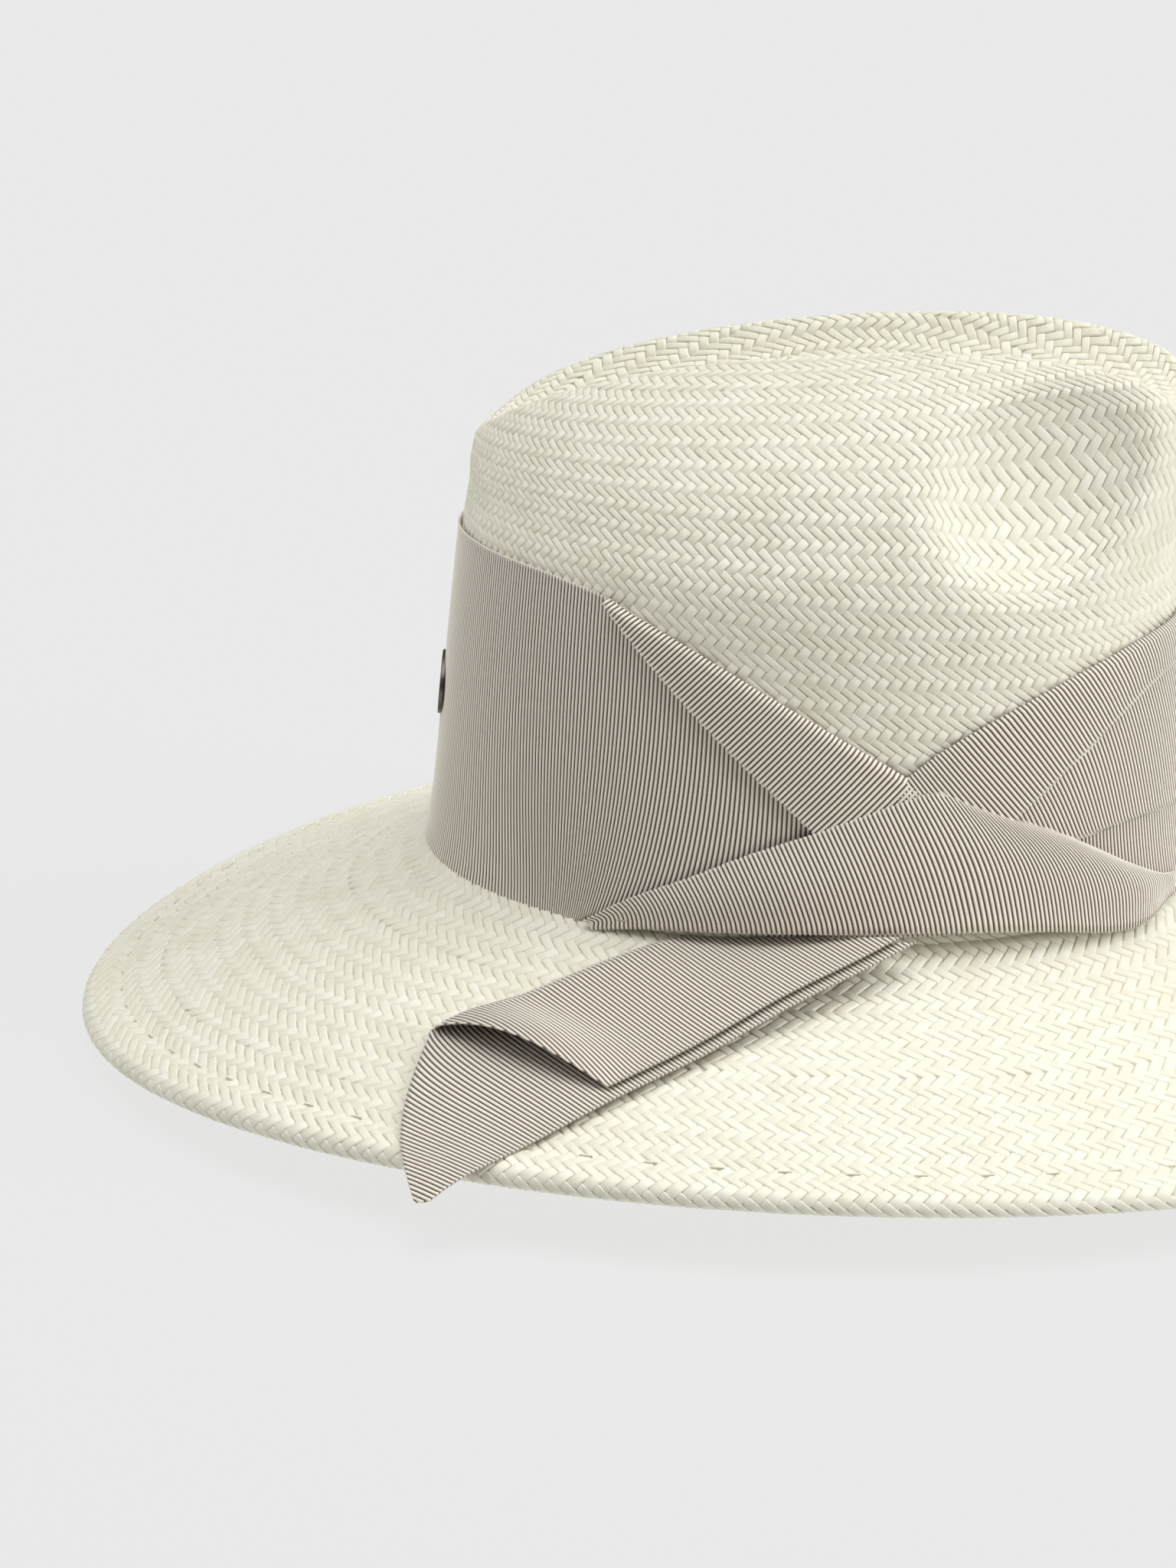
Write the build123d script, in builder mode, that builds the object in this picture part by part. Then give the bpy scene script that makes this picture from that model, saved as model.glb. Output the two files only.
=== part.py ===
"""Woven straw hat with a wide ribbon crossed and tied on one side. Millimetres.

+X is the front of the hat, -Y its trimmed side, +Z up. The origin is on the surface the hat
stands on, under the middle of the crown. The brim dips at the front and the back, so the hat
rests on two short flats of its hem there.
"""

import math
import os

from build123d import *

os.makedirs("parts", exist_ok=True)

# Straw and cloth
straw = 1.6
ribbon = 0.8
gap = 0.1

# Crown wall: an ellipse at every height, narrower across than along the head
side_inset = 16.0
wall_half_length = 97.5
wall_reference = 64.0
taper = 0.09
flare = 2.5
flare_fade = 9.0
root_height = 43.7
wall_stations = (43.7, 46.0, 49.0, 54.0, 62.0, 80.0, 105.0)

# Crown top: tilted ellipses (height, forward shift, tilt, half length, half width) that close
# into a domed tip, higher towards the front, with a centre crease and two front dents
tip_stations = (
    (130.0, 0.3, 0.0, 91.5, 75.3),
    (144.0, 1.7, 2.4, 93.8, 68.5),
    (154.5, 3.3, 4.5, 94.0, 61.0),
    (163.7, 4.2, 5.8, 92.2, 51.3),
    (172.0, 4.3, 6.0, 85.5, 40.0),
    (179.2, 4.3, 6.0, 67.5, 27.0),
    (184.0, 4.3, 6.0, 36.0, 13.0),
)
crease_half_width = 26.0
crease_half_height = 30.0
crease_floor = ((-100, 151), (-70, 155), (-30, 162), (20, 167), (60, 168), (100, 166))
dent_centre = (87.0, 84.0, 176.0)
dent_radius = 60.0

# Brim: a sloping elliptical cone cut by an upright ellipse
brim_half_length = 192.0
brim_half_width = 178.9
brim_edge_height = 3.2
brim_side_height = 17.9
brim_straw = 1.8
hem_width = 11.0
hem_lip = 2.0
hem_depth = 4.2
reed_depth = 2.2
reed_thickness = 0.8
reed_inset = 4.5
reed_width = 3.5

# Band round the crown, as side outlines of its upper edge
band_foot = 44.2
band_head = 131.0
band_start = gap
flap_start = band_start + ribbon + gap
strip_start = flap_start + ribbon + gap
knot_start = strip_start + ribbon + gap
knot_depth = 2.7

# Tail: the ribbon folded lengthwise, its fold along local X and its selvages on the +Y side
tail_origin = (-18.1, -82.2, 48.0)
tail_along = (-0.799, -0.5506, -0.2416)
tail_normal = (-0.1162, -0.2527, 0.9605)
tail_length = 67.0
tail_upper_level = -0.4
tail_lower_level = -1.6

# Sweatband, label, badge and thread
sweatband_height = 30.0
sweatband_foot = 45.0
label_width = 16.0
label_height = 11.0
label_thickness = 0.5
badge_height = 87.0
badge_angle = 190.0
badge_half_width = 11.0
badge_half_height = 8.0
badge_thickness = 1.0
prong_spacing = 9.0
prong_radius = 0.5
washer_thickness = 0.6
thread = 0.4
hem_stitch_count = 72
sweatband_stitch_count = 48

reach = 240.0


def half_length(z):
    """Half length of the straw wall, outside, at height z."""
    slope = wall_half_length - taper * (z - wall_reference)
    return slope + flare * math.exp((root_height - z) / flare_fade)


def wall_point(angle, z, offset):
    """Point on the wall at an ellipse angle in degrees, offset outwards."""
    a = half_length(z) + offset
    b = half_length(z) - side_inset + offset
    turn = math.radians(angle)
    return Vector(a * math.cos(turn), b * math.sin(turn), z)


def wall_normal(angle, z):
    """Level outward normal of the wall at an ellipse angle."""
    a = half_length(z)
    turn = math.radians(angle)
    return Vector(math.cos(turn) / a, math.sin(turn) / (a - side_inset), 0).normalized()


def brim_axes(z):
    """Half length and half width of the brim's upper surface at height z."""
    a = half_length(root_height)
    b = a - side_inset
    drop = root_height - z
    long_slope = (brim_half_length - a) / (root_height - brim_edge_height)
    wide_slope = (brim_half_width - b) / (root_height - brim_side_height)
    return a + long_slope * drop, b + wide_slope * drop


def brim_top(x, y):
    """Height of the brim's upper surface over a point."""
    low = -20.0
    high = root_height
    for _ in range(40):
        middle = (low + high) / 2
        a, b = brim_axes(middle)
        if (x / a) ** 2 + (y / b) ** 2 > 1:
            high = middle
        else:
            low = middle
    return low


def crown_form(inset):
    """Solid block of the crown before it is creased, drawn in by inset all round."""
    with BuildPart() as block:
        for z in wall_stations:
            with BuildSketch(Plane.XY.offset(z)):
                Ellipse(half_length(z) - inset, half_length(z) - side_inset - inset)
        for z, shift, tilt, a, b in tip_stations:
            lean = math.radians(tilt)
            level = Plane(
                (shift, 0, z - inset),
                x_dir=(math.cos(lean), 0, math.sin(lean)),
                z_dir=(-math.sin(lean), 0, math.cos(lean)),
            )
            with BuildSketch(level):
                Ellipse(a - inset, b - inset)
        loft()
    return block.part


def crease_block(grow):
    """Trough that cuts the centre crease along the tip."""
    with BuildPart() as block:
        for x, floor in crease_floor:
            with BuildSketch(Plane.YZ.offset(x)):
                with Locations((0, floor + crease_half_height)):
                    Ellipse(crease_half_width + grow, crease_half_height + grow)
        loft()
    return block.part


def crown_block(inset):
    """Solid block of the finished crown, drawn in by inset."""
    form = crown_form(inset)
    crease = crease_block(inset)
    x, y, z = dent_centre
    with BuildPart() as block:
        add(form)
        add(crease, mode=Mode.SUBTRACT)
        with Locations((x, y, z), (x, -y, z)):
            Sphere(dent_radius + inset, mode=Mode.SUBTRACT)
    return block.part


def cone_block(drop):
    """Solid under the brim's upper surface, lowered by drop."""
    with BuildPart() as block:
        for z in (root_height + 5, -10.0):
            with BuildSketch(Plane.XY.offset(z - drop)):
                Ellipse(*brim_axes(z))
        loft(ruled=True)
    return block.part


def brim_ring(outer_inset, inner_inset, top, bottom):
    """Ring of the brim between two insets from its edge and two depths below its top."""
    above = cone_block(top)
    below = cone_block(bottom)
    with BuildPart() as ring:
        with BuildSketch():
            Ellipse(brim_half_length - outer_inset, brim_half_width - outer_inset)
            if inner_inset is None:
                a = half_length(root_height) - straw
                Ellipse(a, a - side_inset, mode=Mode.SUBTRACT)
            else:
                Ellipse(
                    brim_half_length - inner_inset,
                    brim_half_width - inner_inset,
                    mode=Mode.SUBTRACT,
                )
        extrude(amount=root_height)
        add(above, mode=Mode.INTERSECT)
        add(below, mode=Mode.SUBTRACT)
    return ring.part


def side_prism(outline, side):
    """Prism of a side outline over the near (-1) or the far (+1) half of the hat."""
    with BuildPart() as prism:
        with BuildSketch(Plane.XZ):
            with BuildLine():
                Polyline(*outline, close=True)
            make_face()
        extrude(amount=-side * reach)
    return prism.part


def wall_layer(start, depth, near_outline, far_outline=None):
    """Layer of cloth on the wall, cut to its outline on the near and the far side."""
    cuts = [side_prism(near_outline, -1)]
    if far_outline:
        cuts.append(side_prism(far_outline, 1))
    outside = crown_form(-start - depth)
    inside = crown_form(-start)
    with BuildPart() as cut:
        add(cuts)
    with BuildPart() as layer:
        add(outside)
        add(inside, mode=Mode.SUBTRACT)
        add(cut.part, mode=Mode.INTERSECT)
    return layer.part


def tail_leaf(level, outline):
    """Flat leaf of the tail at its level over the tail's plane."""
    plane = Plane(tail_origin, x_dir=tail_along, z_dir=tail_normal)
    with BuildPart() as leaf:
        with BuildSketch(plane.offset(level)):
            with BuildLine():
                Polyline(*outline, close=True)
            make_face()
        extrude(amount=ribbon)
    return leaf.part


# ---- Straw -----------------------------------------------------------------------------

badge_point = wall_point(badge_angle, badge_height, 0)
badge_axis = (wall_normal(badge_angle, badge_height) + Vector(0, 0, taper)).normalized()
badge_level = Vector(-badge_axis.Y, badge_axis.X, 0)
washer_gap = 0.6


def badge_plane(offset):
    """Plane of the badge, upright against the wall, offset outwards."""
    return Plane(badge_point + badge_axis * offset, x_dir=badge_level, z_dir=badge_axis)


with BuildPart() as prong_holes:
    with BuildSketch(badge_plane(-8)):
        with GridLocations(prong_spacing, 0, 2, 1):
            Circle(prong_radius)
    extrude(amount=16)

crown_outside = crown_block(0)
crown_inside = crown_block(straw)
with BuildPart() as straw_crown:
    add(crown_outside)
    add(crown_inside, mode=Mode.SUBTRACT)
    add(prong_holes.part, mode=Mode.SUBTRACT)

brim_sheet = brim_ring(hem_lip, None, 0, brim_straw)
with BuildPart() as straw_brim:
    add(brim_sheet)

reed_ring = brim_ring(reed_inset, reed_inset + reed_width, reed_depth, reed_depth + reed_thickness)
with BuildPart() as brim_reed:
    add(reed_ring)

hem_ring = brim_ring(0, hem_width, 0, hem_depth)
with BuildPart() as brim_hem:
    add(hem_ring)
    add(brim_sheet, mode=Mode.SUBTRACT)
    add(reed_ring, mode=Mode.SUBTRACT)

with BuildPart() as hem_stitches:
    for i in range(hem_stitch_count):
        turn = 2 * math.pi * (i + 0.5) / hem_stitch_count
        x = (brim_half_length - hem_width) * math.cos(turn)
        y = (brim_half_width - hem_width) * math.sin(turn)
        z = brim_top(x, y)
        slope_x = (brim_top(x + 1, y) - brim_top(x - 1, y)) / 2
        slope_y = (brim_top(x, y + 1) - brim_top(x, y - 1)) / 2
        up = Vector(-slope_x, -slope_y, 1).normalized()
        along = Vector(-brim_half_length * math.sin(turn), brim_half_width * math.cos(turn), 0)
        along = along - up * along.dot(up)
        with BuildSketch(Plane(Vector(x, y, z) + up * 0.1, x_dir=along, z_dir=up)):
            Rectangle(3.2, thread)
        extrude(amount=thread)

# ---- Sweatband -------------------------------------------------------------------------

sweatband_inset = straw + gap
sweatband_outside = crown_form(sweatband_inset)
sweatband_inside = crown_form(sweatband_inset + ribbon)
with BuildPart() as sweatband:
    add(sweatband_outside)
    add(sweatband_inside, mode=Mode.SUBTRACT)
    with Locations((0, 0, sweatband_foot)):
        Box(
            2 * reach,
            2 * reach,
            sweatband_height,
            align=(Align.CENTER, Align.CENTER, Align.MIN),
            mode=Mode.INTERSECT,
        )

with BuildPart() as sweatband_stitches:
    for i in range(sweatband_stitch_count):
        angle = 360 * (i + 0.5) / sweatband_stitch_count
        inward = wall_normal(angle, sweatband_foot) * -1
        spot = wall_point(angle, sweatband_foot + 2.5, -sweatband_inset - ribbon - 0.15)
        with BuildSketch(Plane(spot, x_dir=(-inward.Y, inward.X, 0), z_dir=inward)):
            Rectangle(3.0, thread)
        extrude(amount=thread)

label_foot = sweatband_foot + sweatband_height - label_height - 3
label_outside = crown_form(sweatband_inset + ribbon + gap)
label_inside = crown_form(sweatband_inset + ribbon + gap + label_thickness)
with BuildPart() as size_label:
    add(label_outside)
    add(label_inside, mode=Mode.SUBTRACT)
    with Locations((-reach / 2, 0, label_foot)):
        Box(
            reach,
            label_width,
            label_height,
            align=(Align.CENTER, Align.CENTER, Align.MIN),
            mode=Mode.INTERSECT,
        )

# ---- Ribbon ----------------------------------------------------------------------------

left_fold_line = [(-40.0, 128.3), (-18.1, 118.9), (1.3, 109.0), (20.1, 98.3), (40.0, 86.5)]
right_fold_line = [(40.0, 92.0), (61.0, 104.7), (80.0, 112.7), (93.0, 116.2), (reach, 116.2)]
near_band = [(-reach, band_head), (-87.0, band_head), *left_fold_line, *right_fold_line]
far_band = [(reach, 116.2), (93.0, 116.2), (40.0, 124.0), (-50.0, 130.0), (-reach, band_head)]
band_layer = wall_layer(
    band_start,
    ribbon,
    [*near_band, (reach, band_foot), (-reach, band_foot)],
    [*far_band, (-reach, band_foot), (reach, band_foot)],
)
with BuildPart() as ribbon_band:
    add(band_layer)
    add(prong_holes.part, mode=Mode.SUBTRACT)

left_selvage = [(15.4, 74.9), (6.6, 83.1), (-13.4, 100.9), (-25.9, 113.3), (-38.5, 126.0)]
left_layer = wall_layer(flap_start, ribbon, [*left_fold_line, (30.0, 66.0), *left_selvage])
with BuildPart() as ribbon_left_fold:
    add(left_layer)

right_selvage = [(reach, 107.0), (93.2, 107.0), (87.0, 103.3), (80.7, 97.5), (59.6, 76.8)]
far_strip = [(reach, 116.0), (93.0, 116.0), (40.0, 123.8), (20.0, 124.5), (50.0, 117.0)]
strip_layer = wall_layer(
    strip_start,
    ribbon,
    [(48.0, 96.5), *right_fold_line[1:], *right_selvage, (50.0, 80.0)],
    [*far_strip, (93.2, 107.0), (reach, 107.0)],
)
with BuildPart() as ribbon_right_strip:
    add(strip_layer)

layer_selvage = [(reach, 70.0), (95.0, 70.0), (82.0, 70.8), (73.4, 69.5), (50.0, 66.0)]
far_layer = [(reach, 112.0), (93.0, 112.0), (40.0, 118.0), (0.0, 90.0), (20.0, band_foot + 1)]
second_layer = wall_layer(
    flap_start,
    ribbon,
    [(50.0, 82.0), (93.0, 112.0), (reach, 112.0), *layer_selvage],
    [*far_layer, (60.0, 56.0), (95.0, 70.0), (reach, 70.0)],
)
with BuildPart() as ribbon_right_layer:
    add(second_layer)

knot_top = [(-44.0, 48.6), (-34.0, 54.0), (-16.0, 62.0), (-2.0, 68.8), (16.0, 75.8)]
knot_apex = [(28.5, 80.5), (38.8, 84.0), (44.5, 85.2), (54.0, 81.0), (61.0, 78.0)]
knot_right = [(75.0, 71.4), (88.5, 61.6), (97.5, 54.0), (98.0, 51.0), (96.0, 49.5), (89.0, 48.6)]
knot_foot = [(67.0, 52.0), (41.0, 54.0), (14.0, 54.0), (-14.5, 52.0), (-43.0, 48.4)]
knot_outline = [*knot_top, *knot_apex, *knot_right, *knot_foot]
knot_layer = wall_layer(knot_start, knot_depth, knot_outline)
with BuildPart() as knot_wrap:
    add(knot_layer)

root_fold = (12.7, 0.0)
root_selvage = (-34.0, 37.8)
upper_outline = [root_fold, (tail_length, 0.0), (43.0, 50.0), (16.0, 47.5), (-4.0, 44.0)]
upper_leaf = tail_leaf(tail_upper_level, [*upper_outline, root_selvage])
with BuildPart() as tail_upper_leaf:
    add(upper_leaf)

lower_end = [(tail_length, 0.0), (80.0, 17.0), (89.0, 37.0), (93.0, 54.0), (84.0, 60.0)]
lower_selvage = [(58.0, 56.0), (18.0, 50.0), (-12.0, 43.5)]
lower_leaf = tail_leaf(tail_lower_level, [root_fold, *lower_end, *lower_selvage, root_selvage])
with BuildPart() as tail_lower_leaf:
    add(lower_leaf)

# ---- Badge and tacks -------------------------------------------------------------------

badge_offset = band_start + ribbon + 0.15
with BuildPart() as badge_plate:
    with BuildSketch(badge_plane(badge_offset)):
        Ellipse(badge_half_width, badge_half_height)
    extrude(amount=badge_thickness)
    fillet(badge_plate.edges().group_by(SortBy.DISTANCE)[-1], radius=0.3)
    with BuildSketch(badge_plane(-straw - washer_gap - 2 * washer_thickness)):
        with GridLocations(prong_spacing, 0, 2, 1):
            Circle(prong_radius)
    extrude(amount=badge_offset + straw + washer_gap + 2 * washer_thickness)

with BuildPart() as badge_washer:
    with BuildSketch(badge_plane(-straw - washer_gap - washer_thickness)):
        RectangleRounded(prong_spacing + 5, 6, 1.5)
        with GridLocations(prong_spacing, 0, 2, 1):
            Circle(prong_radius, mode=Mode.SUBTRACT)
    extrude(amount=washer_thickness)

knot_face = knot_start + knot_depth + 0.1
with BuildPart() as tack_stitches:
    for angle, z in ((252.0, 50.6), (276.0, 60.0), (306.0, 60.0), (326.0, 53.0)):
        outward = wall_normal(angle, z)
        with BuildSketch(Plane(wall_point(angle, z, knot_face), z_dir=outward)):
            Rectangle(2.4, thread)
        extrude(amount=thread)

pieces = {
    "straw_crown": straw_crown,
    "straw_brim": straw_brim,
    "brim_hem": brim_hem,
    "brim_reed": brim_reed,
    "hem_stitches": hem_stitches,
    "sweatband": sweatband,
    "sweatband_stitches": sweatband_stitches,
    "size_label": size_label,
    "ribbon_band": ribbon_band,
    "ribbon_left_fold": ribbon_left_fold,
    "ribbon_right_strip": ribbon_right_strip,
    "ribbon_right_layer": ribbon_right_layer,
    "knot_wrap": knot_wrap,
    "tail_upper_leaf": tail_upper_leaf,
    "tail_lower_leaf": tail_lower_leaf,
    "badge_plate": badge_plate,
    "badge_washer": badge_washer,
    "tack_stitches": tack_stitches,
}
for name, piece in pieces.items():
    piece.part.label = name
    export_step(piece.part, f"parts/{name}.step")
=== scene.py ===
"""Woven straw hat with a broad ribbed ribbon, crossed and tied on one side.

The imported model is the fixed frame. Lengths inside the classes are millimetres in that frame;
a piece's mesh is written in metres. +X is the front of the hat and -Y its trimmed side.
"""

import logging
import math
from dataclasses import dataclass, field
from enum import Enum
from typing import Callable, Optional, Sequence

import bpy
import numpy as np
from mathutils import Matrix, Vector


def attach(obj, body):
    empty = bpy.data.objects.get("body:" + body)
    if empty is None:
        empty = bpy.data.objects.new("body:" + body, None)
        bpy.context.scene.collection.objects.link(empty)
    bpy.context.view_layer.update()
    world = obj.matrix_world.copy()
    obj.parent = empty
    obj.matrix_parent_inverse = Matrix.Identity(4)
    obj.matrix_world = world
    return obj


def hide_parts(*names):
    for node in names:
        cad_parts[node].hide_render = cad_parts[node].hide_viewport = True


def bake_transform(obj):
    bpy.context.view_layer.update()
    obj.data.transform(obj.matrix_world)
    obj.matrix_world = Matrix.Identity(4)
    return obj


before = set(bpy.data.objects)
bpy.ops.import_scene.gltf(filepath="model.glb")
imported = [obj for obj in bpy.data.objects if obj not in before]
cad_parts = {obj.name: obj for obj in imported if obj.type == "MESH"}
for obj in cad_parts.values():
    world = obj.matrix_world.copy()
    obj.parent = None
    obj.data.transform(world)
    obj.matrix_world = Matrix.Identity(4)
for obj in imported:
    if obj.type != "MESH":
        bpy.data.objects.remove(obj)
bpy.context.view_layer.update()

MM = 0.001
LOG = logging.getLogger("straw_hat")

Array = np.ndarray
Point2 = tuple[float, float]
Point3 = tuple[float, float, float]
Surface = Callable[[Array, Array], Array]


# ---- Small maths -----------------------------------------------------------------------


def fade(value: Array, low: float, high: float) -> Array:
    """Smooth step from 0 at low to 1 at high."""
    share = np.clip((value - low) / (high - low), 0.0, 1.0)
    return share * share * (3 - 2 * share)


def smooth_min(first: Array, second: Array, soft: float) -> Array:
    """Lower of two values, rounded over where they are within soft of each other."""
    share = np.clip(0.5 + 0.5 * (second - first) / soft, 0.0, 1.0)
    return second + (first - second) * share - soft * share * (1 - share)


def smooth_max(first: Array, second: Array, soft: float) -> Array:
    """Higher of two values, rounded over where they are within soft of each other."""
    return -smooth_min(-first, -second, soft)


def curve_through(knots: Sequence[float], values: Sequence[float], at: Array) -> Array:
    """Smooth curve through given knots.

    Args:
        knots: rising positions of the knots.
        values: the value at each knot.
        at: the positions asked for.

    Returns:
        The curve's value at each position, held level past the ends.
    """
    x = np.asarray(knots, float)
    y = np.asarray(values, float)
    steps = np.diff(x)
    slopes = np.diff(y) / steps
    tangent = np.empty_like(y)
    tangent[0], tangent[-1] = slopes[0], slopes[-1]
    tangent[1:-1] = (slopes[:-1] * steps[1:] + slopes[1:] * steps[:-1]) / (steps[:-1] + steps[1:])
    place = np.clip(np.asarray(at, float), x[0], x[-1])
    k = np.clip(np.searchsorted(x, place, side="right") - 1, 0, len(x) - 2)
    h = steps[k]
    s = (place - x[k]) / h
    return (
        (1 + 2 * s) * (1 - s) ** 2 * y[k]
        + s * (1 - s) ** 2 * h * tangent[k]
        + s * s * (3 - 2 * s) * y[k + 1]
        + s * s * (s - 1) * h * tangent[k + 1]
    )


def unit(vectors: Array) -> Array:
    """The vectors scaled to length 1."""
    return vectors / np.maximum(np.linalg.norm(vectors, axis=-1, keepdims=True), 1e-9)


class EllipseTurn:
    """Even steps of arc round an ellipse of the crown's proportions."""

    def __init__(self, half_length: float, half_width: float) -> None:
        """Tabulates arc length against the ellipse angle, from -pi/2 round to 3*pi/2."""
        self.angles = np.linspace(-math.pi / 2, 1.5 * math.pi, 1441)
        across = np.hypot(
            half_length * np.sin(self.angles), half_width * np.cos(self.angles)
        )
        steps = (across[1:] + across[:-1]) / 2 * np.diff(self.angles)
        self.arcs = np.concatenate([[0.0], np.cumsum(steps)])
        self.round = float(self.arcs[-1])

    def angle(self, arc: Array) -> Array:
        """Ellipse angle at an arc measured from the middle of the trimmed side."""
        laps = np.floor(np.asarray(arc, float) / self.round)
        rest = np.asarray(arc, float) - laps * self.round
        return np.interp(rest, self.arcs, self.angles) + laps * 2 * math.pi


# ---- The hat's form --------------------------------------------------------------------


@dataclass(frozen=True)
class CrownForm:
    """Outer surface of the straw crown, creased and dented."""

    side_inset: float = 16.0
    wall_half_length: float = 97.5
    wall_reference: float = 64.0
    taper: float = 0.09
    flare: float = 2.5
    flare_fade: float = 9.0
    root_height: float = 43.7
    wall_levels: tuple[float, ...] = (43.7, 50.0, 62.0, 80.0, 105.0)
    tip_rings: tuple[tuple[float, ...], ...] = (
        (130.0, 0.3, 0.0, 91.5, 75.3),
        (144.0, 2.9, 2.4, 92.8, 68.5),
        (154.5, 3.7, 4.5, 93.4, 61.0),
        (163.7, 4.2, 5.8, 92.2, 51.3),
        (172.0, 4.3, 6.0, 85.5, 40.0),
        (179.2, 4.3, 6.0, 67.5, 27.0),
        (184.3, 4.3, 6.0, 35.0, 13.0),
        (186.0, 4.3, 6.0, 0.0, 0.0),
    )
    crease_half_width: float = 26.0
    crease_half_height: float = 30.0
    crease_x: tuple[float, ...] = (-100.0, -70.0, -30.0, 20.0, 60.0, 100.0)
    crease_z: tuple[float, ...] = (151.0, 155.0, 162.0, 167.0, 168.0, 166.0)
    crease_soft: float = 3.5
    dent_centre: tuple[float, float, float] = (87.0, 84.0, 176.0)
    dent_radius: float = 60.0
    dent_soft: float = 5.0

    def half_length(self, z: Array) -> Array:
        """Half length of the wall, outside, at height z."""
        slope = self.wall_half_length - self.taper * (z - self.wall_reference)
        return slope + self.flare * np.exp((self.root_height - z) / self.flare_fade)

    def wall(self, angle: Array, z: Array, offset: Array) -> Array:
        """Point on the upright wall at an ellipse angle and height, offset outwards."""
        a = self.half_length(z) + offset
        b = a - self.side_inset
        return np.stack(np.broadcast_arrays(a * np.cos(angle), b * np.sin(angle), z), -1)

    def rings(self) -> Array:
        """Rows of height, shift, tilt, half length and half width from the root to the tip."""
        low = [
            (z, 0.0, 0.0, float(self.half_length(z)), float(self.half_length(z)) - self.side_inset)
            for z in self.wall_levels
        ]
        return np.array(low + list(self.tip_rings))

    def climb(self) -> tuple[Array, Array]:
        """Mean climb along the surface, in millimetres, at fine steps of the ring number."""
        rings = self.rings()
        count = np.linspace(0, len(rings) - 1, 400)
        angle = np.linspace(0, 2 * math.pi, 24, endpoint=False)
        path = self.ring_point(angle[None, :], count[:, None])
        steps = np.linalg.norm(np.diff(path, axis=0), axis=-1).mean(axis=1)
        return np.concatenate([[0.0], np.cumsum(steps)]), count

    def ring_point(self, angle: Array, count: Array) -> Array:
        """Point on the plain form at a ring number."""
        rings = self.rings()
        knots = range(len(rings))
        z, shift, tilt, a, b = (curve_through(knots, rings[:, k], count) for k in range(5))
        lean = np.radians(tilt)
        a = np.maximum(a, 0.0)
        b = np.maximum(b, 0.0)
        along = a * np.cos(angle)
        return np.stack(
            np.broadcast_arrays(
                shift + along * np.cos(lean), b * np.sin(angle), z + along * np.sin(lean)
            ),
            -1,
        )

    def shape(self, points: Array) -> Array:
        """The plain form's points after the centre crease and the two front dents."""
        points = points.copy()
        x, y, z = points[..., 0], points[..., 1], points[..., 2]
        floor = curve_through(self.crease_x, self.crease_z, x)
        share = np.clip(np.abs(y) / self.crease_half_width, 0, 0.9999)
        trough = floor + self.crease_half_height * (1 - np.sqrt(1 - share**2))
        points[..., 2] = smooth_min(z, trough, self.crease_soft)
        for side in (-1, 1):
            centre = np.array(self.dent_centre) * (1, side, 1)
            away = points - centre
            distance = np.linalg.norm(away, axis=-1)
            pushed = smooth_max(distance, np.full_like(distance, self.dent_radius), self.dent_soft)
            points = centre + away * (pushed / distance)[..., None]
        return points


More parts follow.
